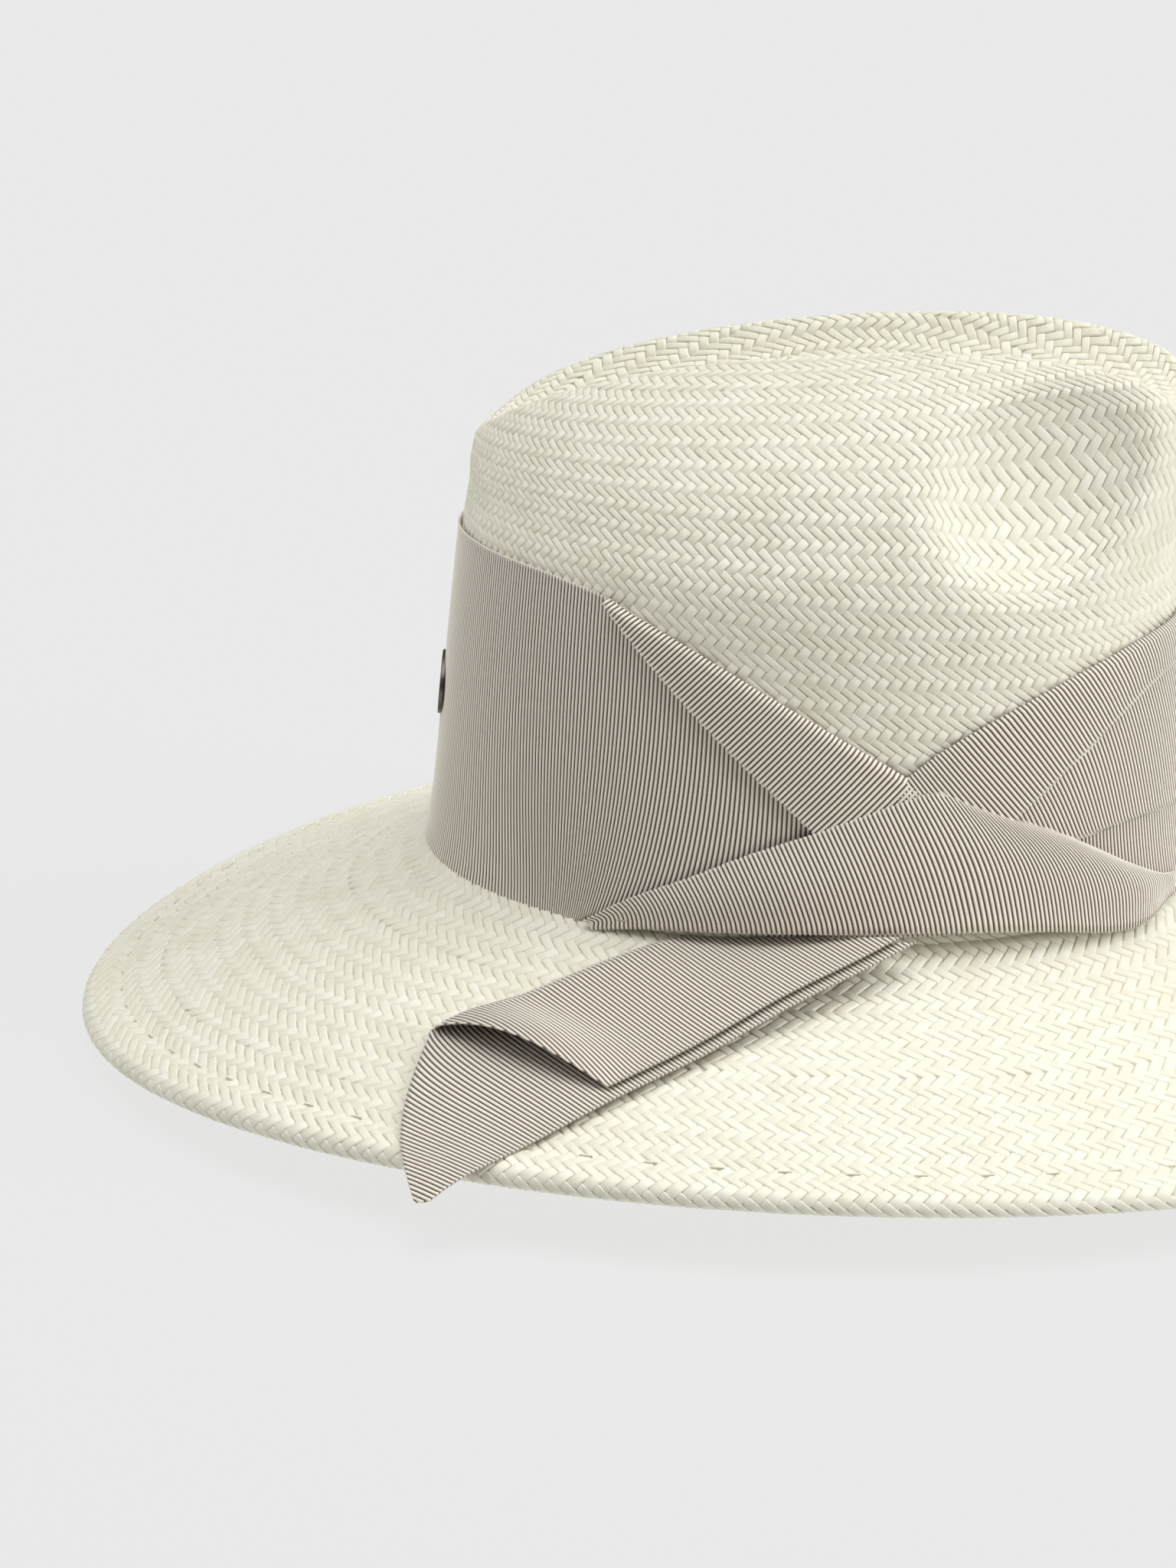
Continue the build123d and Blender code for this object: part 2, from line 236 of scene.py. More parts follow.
@dataclass(frozen=True)
class BrimForm:
    """Upper surface, edge and underside of the sloping brim."""

    crown: CrownForm = field(default_factory=CrownForm)
    half_length: float = 192.0
    half_width: float = 178.9
    edge_height: float = 3.2
    side_height: float = 17.9
    hem_width: float = 11.0
    hem_depth: float = 4.2
    hem_rise: float = 0.8
    seam_dip: float = 0.2
    seam_width: float = 1.2
    straw: float = 1.6
    root_lift: float = 3.4
    root_fade: float = 7.0

    def slopes(self) -> tuple[float, float, float, float]:
        """Root half length and width, and how fast each grows as the brim drops."""
        a = float(self.crown.half_length(self.crown.root_height))
        b = a - self.crown.side_inset
        root = self.crown.root_height
        return (
            a,
            b,
            (self.half_length - a) / (root - self.edge_height),
            (self.half_width - b) / (root - self.side_height),
        )

    def edge_drop(self, angle: Array) -> Array:
        """How far the brim drops from its root to its edge at an ellipse angle."""
        a, b, long_slope, wide_slope = self.slopes()
        c = np.cos(angle) / self.half_length
        s = np.sin(angle) / self.half_width
        square = c**2 * long_slope**2 + s**2 * wide_slope**2
        middle = c**2 * a * long_slope + s**2 * b * wide_slope
        rest = c**2 * a**2 + s**2 * b**2 - 1
        return (-middle + np.sqrt(middle**2 - square * rest)) / square

    def plain(self, angle: Array, share: Array) -> Array:
        """Point on the plain cone, from 0 at the root to 1 at the edge."""
        a, b, long_slope, wide_slope = self.slopes()
        drop = self.edge_drop(angle) * share
        return np.stack(
            np.broadcast_arrays(
                (a + long_slope * drop) * np.cos(angle),
                (b + wide_slope * drop) * np.sin(angle),
                self.crown.root_height - drop,
            ),
            -1,
        )

    def run(self, angle: Array) -> Array:
        """Length of the brim from root to edge at an ellipse angle."""
        return np.linalg.norm(self.plain(angle, 1.0) - self.plain(angle, 0.0), axis=-1)

    def mean_run(self) -> float:
        """The brim's mean length from root to edge."""
        return float(self.run(np.linspace(0, 2 * math.pi, 90)).mean())

    def normal(self, angle: Array, share: Array) -> Array:
        """Upward normal of the plain cone."""
        step = 1e-3
        along = self.plain(angle + step, share) - self.plain(angle - step, share)
        outward = self.plain(angle, share + step) - self.plain(angle, share - step)
        return unit(np.cross(outward, along))

    def section(self, out: Array) -> tuple[Array, Array]:
        """The brim's profile over its edge.

        Args:
            out: way along the profile past the mean run, negative on the upper side.

        Returns:
            How far inside the edge, and how high over the plain cone, the profile is.
        """
        radius = self.hem_depth / 2
        inside = -out
        middle = np.clip((inside - self.hem_width / 2) / (self.hem_width / 2), -1, 1)
        roll = self.hem_rise * (1 - middle**2) * fade(inside, 0.0, 3.0)
        seam = self.seam_dip * np.exp(-(((inside - self.hem_width) / self.seam_width) ** 2))
        turn = np.clip((out + radius) / radius, 0, math.pi)
        beyond = np.maximum(out + radius - math.pi * radius, 0.0)
        back = radius - radius * np.sin(turn) + beyond
        inward = np.where(out < -radius, inside, back)
        rise = np.where(out < -radius, roll - seam, radius * np.cos(turn) - radius + roll)
        return inward, rise

    def surface(self, angle: Array, out: Array) -> Array:
        """Point on the brim's upper side, or past the edge on the turned hem below."""
        mean = self.mean_run()
        inward, rise = self.section(out - mean)
        length = self.run(angle)
        share = (mean - inward) / mean
        points = self.plain(angle, share) + self.normal(angle, share) * rise[..., None]
        lift = self.root_lift * np.exp(-np.maximum(share, 0) * length / self.root_fade)
        points[..., 2] += lift
        points[..., 2] = np.maximum(points[..., 2], 0.0)
        return points

    def under(self, angle: Array, out: Array) -> Array:
        """Point on the brim's underside, inside the hem."""
        share = out / self.mean_run()
        points = self.plain(angle, share) - self.normal(angle, share) * self.straw
        lift = self.root_lift * np.exp(-np.maximum(share, 0) * self.run(angle) / self.root_fade)
        points[..., 2] += lift
        return points

    def height(self, x: Array, y: Array) -> tuple[Array, Array]:
        """Height of the plain brim under a point, and how far past the edge the point is."""
        a, b, long_slope, wide_slope = self.slopes()
        low = np.zeros_like(x)
        high = np.full_like(x, 90.0)
        for _ in range(40):
            drop = (low + high) / 2
            inside = (x / (a + long_slope * drop)) ** 2 + (y / (b + wide_slope * drop)) ** 2 < 1
            high = np.where(inside, drop, high)
            low = np.where(inside, low, drop)
        reach = np.sqrt((x / self.half_length) ** 2 + (y / self.half_width) ** 2)
        past = np.maximum(reach - 1, 0) * self.half_width
        return self.crown.root_height - (low + high) / 2, past


CROWN = CrownForm()
BRIM = BrimForm(CROWN)
TURN = EllipseTurn(96.5, 80.5)


# ---- Mesh making -----------------------------------------------------------------------


def deselect_all() -> None:
    bpy.ops.object.select_all(action="DESELECT")


def finish_modifier(piece: bpy.types.Object, kind: str, **settings: object) -> None:
    """Adds a modifier to a piece and applies it at once.

    Args:
        piece: the piece that it finishes.
        kind: the modifier's type.
        settings: the modifier's own settings.
    """
    deselect_all()
    bpy.context.view_layer.objects.active = piece
    piece.select_set(True)
    modifier = piece.modifiers.new(kind.lower(), kind)
    for name, value in settings.items():
        setattr(modifier, name, value)
    bpy.ops.object.modifier_apply(modifier=modifier.name)


def grid_piece(name: str, columns: int, rows: int) -> bpy.types.Object:
    """A grid primitive, named and ready to be shaped.

    Args:
        name: the piece's name.
        columns: faces across.
        rows: faces up.

    Returns:
        The new grid, from -1 to 1 both ways.
    """
    deselect_all()
    bpy.ops.mesh.primitive_grid_add(x_subdivisions=columns, y_subdivisions=rows, size=2)
    piece = bpy.context.active_object
    piece.name = name
    piece.data.name = name
    return piece


def shape_grid(piece: bpy.types.Object, place: Callable[[Array, Array], Array]) -> Array:
    """Moves a grid's vertices.

    Args:
        piece: a grid primitive, from -1 to 1 both ways.
        place: gives points in millimetres from the two shares, 0 to 1, across and up the grid.

    Returns:
        The shares of every vertex.
    """
    flat = np.empty(len(piece.data.vertices) * 3)
    piece.data.vertices.foreach_get("co", flat)
    shares = (flat.reshape(-1, 3)[:, :2] + 1) / 2
    points = place(shares[:, 0], shares[:, 1]) * MM
    piece.data.vertices.foreach_set("co", points.astype(np.float32).ravel())
    piece.data.update()
    return shares


def lay_uv(piece: bpy.types.Object, uv: Array) -> None:
    """Writes a UV map.

    Args:
        piece: the piece that gets it.
        uv: one pair of numbers for each vertex.
    """
    mesh = piece.data
    layer = mesh.uv_layers.get("weave") or mesh.uv_layers.new(name="weave")
    corners = np.empty(len(mesh.loops), np.int32)
    mesh.loops.foreach_get("vertex_index", corners)
    layer.data.foreach_set("uv", uv[corners].astype(np.float32).ravel())
    mesh.uv_layers.active = layer


def smooth(piece: bpy.types.Object) -> None:
    """Shades every face of a piece smooth."""
    piece.data.polygons.foreach_set("use_smooth", [True] * len(piece.data.polygons))
    piece.data.update()


def weld_and_face_out(piece: bpy.types.Object, distance: float = 1e-6) -> None:
    """Merges a piece's doubles and turns its faces outwards.

    Args:
        piece: the piece to mend.
        distance: how near two vertices are when they are merged, in metres.
    """
    deselect_all()
    bpy.context.view_layer.objects.active = piece
    piece.select_set(True)
    bpy.ops.object.mode_set(mode="EDIT")
    bpy.ops.mesh.select_all(action="SELECT")
    bpy.ops.mesh.remove_doubles(threshold=distance)
    bpy.ops.mesh.select_all(action="SELECT")
    bpy.ops.mesh.normals_make_consistent(inside=False)
    bpy.ops.object.mode_set(mode="OBJECT")


# ---- Straw -----------------------------------------------------------------------------


class Detail(Enum):
    """How finely one straw is modelled: faces along it and across it."""

    OUTSIDE = (4, 5)
    INSIDE = (4, 2)


@dataclass(frozen=True)
class StrawRow:
    """One row of parallel straws round the hat."""

    height: float
    count: int
    lean: int


@dataclass(frozen=True)
class Weave:
    """The slanting twill: rows of straws that lean one way, then the other."""

    row_height: float = 3.15
    half_width: float = 0.485
    half_length: float = 1.3
    crest: float = 0.22
    dip: float = 0.72
    edge: float = 0.1
    tuck: float = 0.4
    shoulder: float = 0.68

    def straw(self, detail: Detail) -> tuple[Array, Array, Array]:
        """One straw as a shaped grid: places along and across it, and its faces."""
        along, across = detail.value
        piece = grid_piece("straw_pattern", along, across)
        flat = np.empty(len(piece.data.vertices) * 3)
        piece.data.vertices.foreach_get("co", flat)
        places = flat.reshape(-1, 3)[:, :2].copy()
        faces = np.array([list(p.vertices) for p in piece.data.polygons])
        mesh = piece.data
        bpy.data.objects.remove(piece)
        bpy.data.meshes.remove(mesh)
        return places[:, 0], places[:, 1], faces

    def profile(self, along: Array, across: Array) -> tuple[Array, Array, Array]:
        """Place of a straw's points along and across it, and their height."""
        side = np.abs(across)
        even = np.array([0.0, 0.2, 0.6, 1.0])
        width = np.sign(across) * np.interp(side, even, [0.0, 0.6, 0.88, 1.0])
        drop = np.interp(side, even, [0.0, 0.02, self.edge, self.edge + self.tuck])
        reach = np.interp(np.abs(along), [0.0, 0.5, 1.0], [0.0, self.shoulder, 1.0])
        length = np.sign(along) * reach
        sink = np.interp(np.abs(length), [0.0, self.shoulder, 1.0], [0.0, 0.05, self.dip])
        return length, width, self.crest - drop - sink


def weave_piece(
    name: str,
    weave: Weave,
    rows: Sequence[StrawRow],
    surface: Callable[[Array, Array], Array],
    detail: Detail,
    seed: int,
    keep: Optional[Callable[[Array, Array], Array]] = None,
    facing: float = 1.0,
) -> bpy.types.Object:
    """Lays every straw of a weave on a surface.

    Args:
        name: the piece's name.
        weave: the straw's sizes.
        rows: the rows of straws.
        surface: gives points from the share of a turn and the way along the surface.
        detail: how finely each straw is modelled.
        seed: starts the straws' small differences.
        keep: says which straws are made, from the same two numbers.
        facing: 1 where the surface's own normal points to the seen side, or -1.

    Returns:
        The finished piece.
    """
    along, across, faces = weave.straw(detail)
    along, width, height = weave.profile(along, across)
    random = np.random.default_rng(seed)
    centre_u, centre_v, count, lean = [], [], [], []
    for row in rows:
        place = np.arange(row.count) + 0.5 * (row.lean > 0)
        centre_u.append(place)
        centre_v.append(np.full(row.count, row.height))
        count.append(np.full(row.count, row.count))
        lean.append(np.full(row.count, row.lean))
    turn = np.concatenate(centre_u)
    rise = np.concatenate(centre_v)
    number = np.concatenate(count)
    slant = np.concatenate(lean)
    if keep is not None:
        kept = keep(turn / number, rise)
        turn, rise, number, slant = turn[kept], rise[kept], number[kept], slant[kept]
    total = len(turn)
    wide = weave.half_width * random.uniform(0.93, 1.03, total)
    long = weave.half_length * random.uniform(0.95, 1.04, total)
    high = random.normal(0, 0.03, total)
    skew = random.normal(0, 0.02, total)
    tone = random.uniform(0, 1, total)
    a = width[None, :] * wide[:, None] + skew[:, None] * along[None, :]
    b = along[None, :] * long[:, None]
    step_u = (a + b) / 2
    step_v = (a - b) / 2 * slant[:, None]
    u = (turn[:, None] + step_u) / number[:, None]
    v = rise[:, None] + step_v * weave.row_height
    points = surface(u, v)
    small = 0.4
    du = surface(u + small / 600, v) - surface(u - small / 600, v)
    dv = surface(u, v + small) - surface(u, v - small)
    normal = unit(np.cross(du, dv)) * facing
    points = points + normal * (height[None, :, None] + high[:, None, None])
    vertices = points.reshape(-1, 3) * MM
    size = len(along)
    corners = faces[None, :, :] + np.arange(total)[:, None, None] * size
    corners = corners.reshape(-1, faces.shape[1])
    turned = np.repeat((slant > 0) == (facing > 0), len(faces))
    corners[turned] = corners[turned][:, ::-1]
    mesh = bpy.data.meshes.new(name)
    mesh.vertices.add(len(vertices))
    mesh.vertices.foreach_set("co", vertices.astype(np.float32).ravel())
    mesh.loops.add(corners.size)
    mesh.loops.foreach_set("vertex_index", corners.ravel().astype(np.int32))
    mesh.polygons.add(len(corners))
    starts = np.arange(0, corners.size, faces.shape[1], dtype=np.int32)
    mesh.polygons.foreach_set("loop_start", starts)
    mesh.update(calc_edges=True)
    mesh.validate()
    piece = bpy.data.objects.new(name, mesh)
    bpy.context.scene.collection.objects.link(piece)
    uv = np.stack(
        [
            (width[None, :] * 0.5 + random.uniform(0, 40, total)[:, None]).ravel(),
            (along[None, :] * 1.0 + random.uniform(0, 40, total)[:, None]).ravel(),
        ],
        -1,
    )
    lay_uv(piece, uv)
    shade = mesh.attributes.new("tone", "FLOAT", "POINT")
    shade.data.foreach_set("value", np.repeat(tone, size).astype(np.float32))
    smooth(piece)
    return piece


# ---- Finishes --------------------------------------------------------------------------


class Wire:
    """A shader socket that Python's arithmetic can be written with."""

    def __init__(self, maker: "Finish", socket: bpy.types.NodeSocket) -> None:
        """Keeps the socket and the finish whose nodes it belongs to."""
        self.maker = maker
        self.socket = socket

    def math(self, operation: str, *values: object) -> "Wire":
        """A Math node on these values."""
        return self.maker.node("ShaderNodeMath", {"operation": operation}, list(values))

    def sine(self) -> "Wire":
        """Sine, in radians."""
        return self.math("SINE", self)

    def absolute(self) -> "Wire":
        """Size without its sign."""
        return self.math("ABSOLUTE", self)

    def __add__(self, other: object) -> "Wire":
        """Sum."""
        return self.math("ADD", self, other)

    __radd__ = __add__

    def __mul__(self, other: object) -> "Wire":
        """Product."""
        return self.math("MULTIPLY", self, other)

    __rmul__ = __mul__

    def __sub__(self, other: object) -> "Wire":
        """Difference."""
        return self.math("SUBTRACT", self, other)

    def __rsub__(self, other: object) -> "Wire":
        """Reflected difference."""
        return self.math("SUBTRACT", other, self)


class Finish:
    """A material built node by node."""

    def __init__(self, name: str, roughness: float, specular: float, sheen: float = 0.0) -> None:
        """Starts a material with its constant settings on the shader itself."""
        self.material = bpy.data.materials.new(name)
        self.material.use_nodes = True
        self.tree = self.material.node_tree
        self.shader = next(n for n in self.tree.nodes if n.type == "BSDF_PRINCIPLED")
        self.shader.inputs["Roughness"].default_value = roughness
        self.shader.inputs["Specular IOR Level"].default_value = specular
        self.shader.inputs["Sheen Weight"].default_value = sheen
        self.shader.inputs["Sheen Roughness"].default_value = 0.45

    def node(
        self, kind: str, settings: dict, inputs: Sequence[object] | dict, output: int | str = 0
    ) -> Wire:
        """Adds one node.

        Args:
            kind: the node's type.
            settings: its own settings, set first.
            inputs: values or wires, by place or by socket name.
            output: the socket that is returned.

        Returns:
            The chosen output.
        """
        made = self.tree.nodes.new(kind)
        for name, value in settings.items():
            if name == "stops":
                self._stops(made.color_ramp, value)
            else:
                setattr(made, name, value)
        pairs = inputs.items() if isinstance(inputs, dict) else enumerate(inputs)
        for key, value in pairs:
            if isinstance(value, Wire):
                self.tree.links.new(value.socket, made.inputs[key])
            else:
                made.inputs[key].default_value = value
        return Wire(self, made.outputs[output])

    def _stops(self, ramp: bpy.types.ColorRamp, stops: Sequence[tuple]) -> None:
        """Sets a ramp's stops."""
        while len(ramp.elements) > 1:
            ramp.elements.remove(ramp.elements[-1])
        ramp.elements[0].position, ramp.elements[0].color = stops[0]
        for position, colour in stops[1:]:
            ramp.elements.new(position).color = colour

    def uv(self, scale_x: float, scale_y: float) -> Wire:
        """The piece's UV map, scaled each way."""
        place = self.node("ShaderNodeUVMap", {"uv_map": "weave"}, [])
        return self.node(
            "ShaderNodeMapping", {}, {"Vector": place, "Scale": (scale_x, scale_y, 1.0)}
        )

    def uv_parts(self) -> tuple[Wire, Wire]:
        """The UV map's two numbers."""
        place = self.node("ShaderNodeUVMap", {"uv_map": "weave"}, [])
        parts = self.node("ShaderNodeSeparateXYZ", {}, [place])
        node = parts.socket.node
        return Wire(self, node.outputs[0]), Wire(self, node.outputs[1])

    def solid(self) -> Wire:
        """Object coordinates."""
        return self.node("ShaderNodeTexCoord", {}, [], "Object")

    def noise(self, where: Wire, scale: float, detail: float = 2.0, rough: float = 0.5) -> Wire:
        """Noise from 0 to 1 about one half."""
        return self.node(
            "ShaderNodeTexNoise",
            {},
            {"Vector": where, "Scale": scale, "Detail": detail, "Roughness": rough},
            "Fac",
        )

    def ramp(self, value: Wire, stops: Sequence[tuple]) -> Wire:
        """Colour ramp over a value."""
        return self.node("ShaderNodeValToRGB", {"stops": stops}, [value])

    def blend(self, share: object, first: object, second: object) -> Wire:
        """Mix of two colours."""
        made = self.tree.nodes.new("ShaderNodeMix")
        made.data_type = "RGBA"
        for socket, value in zip((made.inputs[0], made.inputs[6], made.inputs[7]), (share, first, second)):
            if isinstance(value, Wire):
                self.tree.links.new(value.socket, socket)
            else:
                socket.default_value = value
        return Wire(self, made.outputs[2])

    def colour(self, wire: Wire) -> None:
        """Feeds the base colour."""
        self.tree.links.new(wire.socket, self.shader.inputs["Base Color"])

    def rough(self, wire: Wire) -> None:
        """Feeds the roughness."""
        self.tree.links.new(wire.socket, self.shader.inputs["Roughness"])

    def bump(self, height: Wire, depth: float) -> None:
        """Feeds the normal with a bump of this depth in millimetres."""
        normal = self.node(
            "ShaderNodeBump", {}, {"Strength": 1.0, "Distance": depth * MM, "Height": height}, "Normal"
        )
        self.tree.links.new(normal.socket, self.shader.inputs["Normal"])


Colour = tuple[float, float, float, float]


@dataclass(frozen=True)
class StrawFinish:
    """Bleached toquilla straw with fibre streaks and small differences from straw to straw."""

    light: Colour = (0.87, 0.845, 0.70, 1.0)
    pale: Colour = (0.93, 0.91, 0.79, 1.0)
    warm: Colour = (0.76, 0.72, 0.56, 1.0)

    def make(self) -> bpy.types.Material:
        """Builds the material."""
        finish = Finish("bleached_straw", roughness=0.5, specular=0.4)
        tone = finish.node("ShaderNodeAttribute", {"attribute_name": "tone"}, [], "Fac")
        streak = finish.noise(finish.uv(9.0, 0.5), 1.6, 3.0, 0.6)
        fine = finish.noise(finish.uv(26.0, 1.4), 1.5, 2.0, 0.6)
        patch = finish.noise(finish.solid(), 55.0, 2.0)
        base = finish.blend(tone, self.light, self.pale)
        mark = finish.ramp(streak, [(0.52, (0, 0, 0, 1)), (0.74, (0.55, 0.55, 0.55, 1))])
        base = finish.blend(mark, base, self.warm)
        stain = finish.ramp(patch, [(0.5, (0, 0, 0, 1)), (0.8, (0.3, 0.3, 0.3, 1))])
        base = finish.blend(stain, base, self.warm)
        finish.colour(base)
        finish.rough(0.42 + streak * 0.2)
        finish.bump(streak * 0.6 + fine * 0.4, 0.12)
        return finish.material


@dataclass(frozen=True)
class StrawBackingFinish:
    """The straw seen through the small gaps of the weave, coloured darker than the straws as painted shade in
    those gaps.
    """

    # Both colours sit well below the straw's own: painted shade in the gaps between straws, with a fine grain
    # between them.
    dark: Colour = (0.64, 0.60, 0.48, 1.0)
    light: Colour = (0.78, 0.74, 0.62, 1.0)

    def make(self) -> bpy.types.Material:
        """Builds the material."""
        finish = Finish("straw_between", roughness=0.7, specular=0.2)
        grain = finish.noise(finish.solid(), 900.0, 2.0)
        finish.colour(finish.blend(grain, self.dark, self.light))
        finish.bump(grain, 0.1)
        return finish.material


@dataclass(frozen=True)
class RibbonFinish:
    """Ribbed ribbon: rounded ribs with a painted highlight on their crests and painted shade in the grooves
    between them.
    """

    name: str = "ribbed_ribbon"
    # The crest colour is a painted highlight on the rib tops; the dark colour below it is painted shade in
    # the grooves.
    crest: Colour = (0.96, 0.905, 0.80, 1.0)
    groove_shade: Colour = (0.09, 0.045, 0.015, 1.0)

    def make(self) -> bpy.types.Material:
        """Builds the material."""
        finish = Finish(self.name, roughness=0.5, specular=0.45, sheen=0.5)
        along, _ = finish.uv_parts()
        rib = (along * math.pi).sine().absolute()
        thread = finish.noise(finish.uv(1.3, 5.0), 2.6, 2.0, 0.7)
        shade = rib * (0.82 + thread * 0.36)
        # The ramp paints shade into each groove and a highlight on each crest of every rib.
        base = finish.ramp(
            shade,
            [
                (0.26, self.groove_shade),
                (0.6, tuple(0.55 * g + 0.45 * c for g, c in zip(self.groove_shade, self.crest))),
                (0.88, self.crest),
            ],
        )
        # Painted highlight: the woven edges are lightened towards the pale crest colour.
        selvage = finish.node("ShaderNodeAttribute", {"attribute_name": "selvage"}, [], "Fac")
        finish.colour(finish.blend(selvage * rib * 0.8, base, self.crest))
        finish.rough(0.66 - rib * 0.18)
        finish.bump(thread * rib, 0.09)
        return finish.material


@dataclass(frozen=True)
class PlainFinish:
    """A plain finish with a fine grain: thread, label cloth, reed or metal."""

    name: str
    dark: Colour
    light: Colour
    roughness: float
    metallic: float = 0.0
    scale: float = 1200.0
    depth: float = 0.04

    def make(self) -> bpy.types.Material:
        """Builds the material."""
        finish = Finish(self.name, roughness=self.roughness, specular=0.4)
        finish.shader.inputs["Metallic"].default_value = self.metallic
        grain = finish.noise(finish.solid(), self.scale, 3.0, 0.6)
        finish.colour(finish.blend(grain, self.dark, self.light))
        finish.rough(self.roughness - 0.08 + grain * 0.16)
        finish.bump(grain, self.depth)
        return finish.material


# ---- Straw crown and brim --------------------------------------------------------------


def register(
    piece: bpy.types.Object,
    material: bpy.types.Material,
    body: Optional[str],
    nodes: Sequence[str] = (),
) -> bpy.types.Object:
    """Gives a finished piece what the frame asks of it.

    Args:
        piece: the piece.
        material: its finish.
        body: the body that it rides on, or None where it is left unattached.
        nodes: the CAD nodes that it stands for.

    Returns:
        The same piece.
    """
    piece.data.materials.clear()
    piece.data.materials.append(material)
    if body:
        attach(piece, body)
    if nodes:
        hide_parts(*nodes)
    LOG.info("%s: %d faces", piece.name, len(piece.data.polygons))
    return piece


@dataclass
class StrawBody:
    """The woven crown, the woven brim and its turned hem."""

    weave: Weave = field(default_factory=Weave)
    wall_count: int = 160
    spacing: float = 3.0
    least_spacing: float = 2.3
    crown_skew: float = -0.36
    crown_slope: float = 6.0
    brim_zones: tuple[tuple[float, int], ...] = ((0.0, 156), (0.22, 176), (0.5, 206), (0.77, 232))
    brim_row_height: float = 3.78
    brim_skew: float = 0.165
    shell_drop: float = 0.35
    lining_start: float = 28.0
    tip_gap: float = 4.0
    side_share: float = 0.55
    band_tuck: float = 6.0
    root_straws: float = 5.0

    def crown_rows(self, start: float, end: float) -> list[StrawRow]:
        """Rows of straws up the crown, with fewer straws as the rings get smaller.

        Args:
            start: climb of the first row.
            end: climb that no row reaches.

        Returns:
            The rows, from the root upwards.
        """
        climb, count = CROWN.climb()
        rings = CROWN.rings()
        straws = self.wall_count
        rows = []
        number = 0
        height = start
        while height < end:
            ring = np.interp(height, climb, count)
            a = float(curve_through(range(len(rings)), rings[:, 3], ring))
            b = float(curve_through(range(len(rings)), rings[:, 4], ring))
            around = math.pi * (3 * (a + b) - math.sqrt((3 * a + b) * (a + 3 * b)))
            if around / straws < self.least_spacing:
                straws = max(6, round(around / self.spacing))
            rows.append(StrawRow(height, straws, 1 if number % 2 else -1))
            number += 1
            height += self.weave.row_height
        return rows

    def brim_rows(self, start: float, end: float) -> list[StrawRow]:
        """Rows of straws out along the brim, with more straws as the rings get larger.

        Args:
            start: way out to the first row.
            end: way out that no row reaches.

        Returns:
            The rows, from the root outwards.
        """
        mean = BRIM.mean_run()
        rows = []
        number = 0
        out = start
        while out < end:
            straws = [count for share, count in self.brim_zones if share <= out / mean][-1]
            rows.append(StrawRow(out, straws, 1 if number % 2 else -1))
            number += 1
            out += self.brim_row_height
        return rows

    def crown_surface(self, inset: float, lean: bool = False) -> Callable[[Array, Array], Array]:
        """The crown as a function of the share of a turn and the climb.

        Args:
            inset: how far inside the outer surface.
            lean: True where the straws' rows lean and sink as they do outside.

        Returns:
            The function, which gives points in millimetres.
        """
        climb, count = CROWN.climb()

        def surface(turn: Array, rise: Array) -> Array:
            """Point on the crown."""
            angle = TURN.angle(turn * TURN.round)
            if lean:
                angle = TURN.angle(turn * TURN.round + self.crown_skew * rise)
                sunk = self.crown_slope * fade(rise, 20.0, 60.0) * (1 - fade(rise, 90.0, 150.0))
                rise = rise - sunk * np.cos(angle)
            plain = CROWN.ring_point(angle, np.interp(rise, climb, count))
            points = CROWN.shape(plain)
            if inset:
                step_turn, step_rise = 1e-3, 0.5
                beside = CROWN.shape(
                    CROWN.ring_point(
                        TURN.angle((turn + step_turn) * TURN.round), np.interp(rise, climb, count)
                    )
                )
                above = CROWN.shape(
                    CROWN.ring_point(angle, np.interp(rise - step_rise, climb, count))
                )
                points = points - unit(np.cross(points - above, beside - points)) * -inset
            return points

        return surface

    def brim_surface(self, turn: Array, out: Array) -> Array:
        """Point on the brim's upper side and round its edge."""
        return BRIM.surface(TURN.angle(turn * TURN.round + self.brim_skew * out), out)

    def under_surface(self, turn: Array, out: Array) -> Array:
        """Point on the brim's underside."""
        return BRIM.under(TURN.angle(turn * TURN.round + self.brim_skew * out), out)

    def shell(
        self, name: str, surface: Surface, start: float, end: float, rows: int, outward: float
    ) -> bpy.types.Object:
        """Thin backing shell just behind a weave.

        Args:
            name: the shell's name.
            surface: gives points from the share of a turn and the way along the surface.
            start: where the shell begins along the surface.
            end: where it ends.
            rows: its faces from start to end.
            outward: 1 where the surface's own normal points to the seen side, or -1.

        Returns:
            The finished shell.
        """
        piece = grid_piece(name, 288, rows)
        step_turn, step_rise = 1e-3, 0.4

        def place(across: Array, up: Array) -> Array:
            """Point of the shell, set back from the straws."""
            rise = start + (end - start) * up
            points = surface(across, rise)
            beside = surface(across + step_turn, rise) - surface(across - step_turn, rise)
            above = surface(across, rise + step_rise) - surface(across, rise - step_rise)
            return points - unit(np.cross(beside, above)) * self.shell_drop * outward

        shape_grid(piece, place)
        weld_and_face_out(piece, 2e-6)
        smooth(piece)
        return piece

    def build(self, straw: bpy.types.Material, backing: bpy.types.Material) -> None:
        """Makes the crown, the brim and the hem.

        Args:
            straw: the straws' finish.
            backing: the finish of what shows between them.
        """
        climb, _ = CROWN.climb()
        top = float(climb[-1])
        mean = BRIM.mean_run()
        round_edge = math.pi * BRIM.hem_depth / 2
        hem_end = mean + round_edge - BRIM.hem_depth / 2 + BRIM.hem_width - BRIM.hem_depth / 2

        band = Band()

        def over_band(turn: Array, rise: Array) -> Array:
            """Straws that the ribbon doesn't hide."""
            arc = turn * TURN.round + self.crown_skew * rise
            arc = arc - TURN.round * np.floor(arc / TURN.round + 0.25)
            sunk = self.crown_slope * fade(rise, 20.0, 60.0) * np.cos(TURN.angle(arc))
            cover = band.head(arc) - self.band_tuck
            return (rise < self.root_straws) | (rise - sunk + CROWN.root_height > cover)

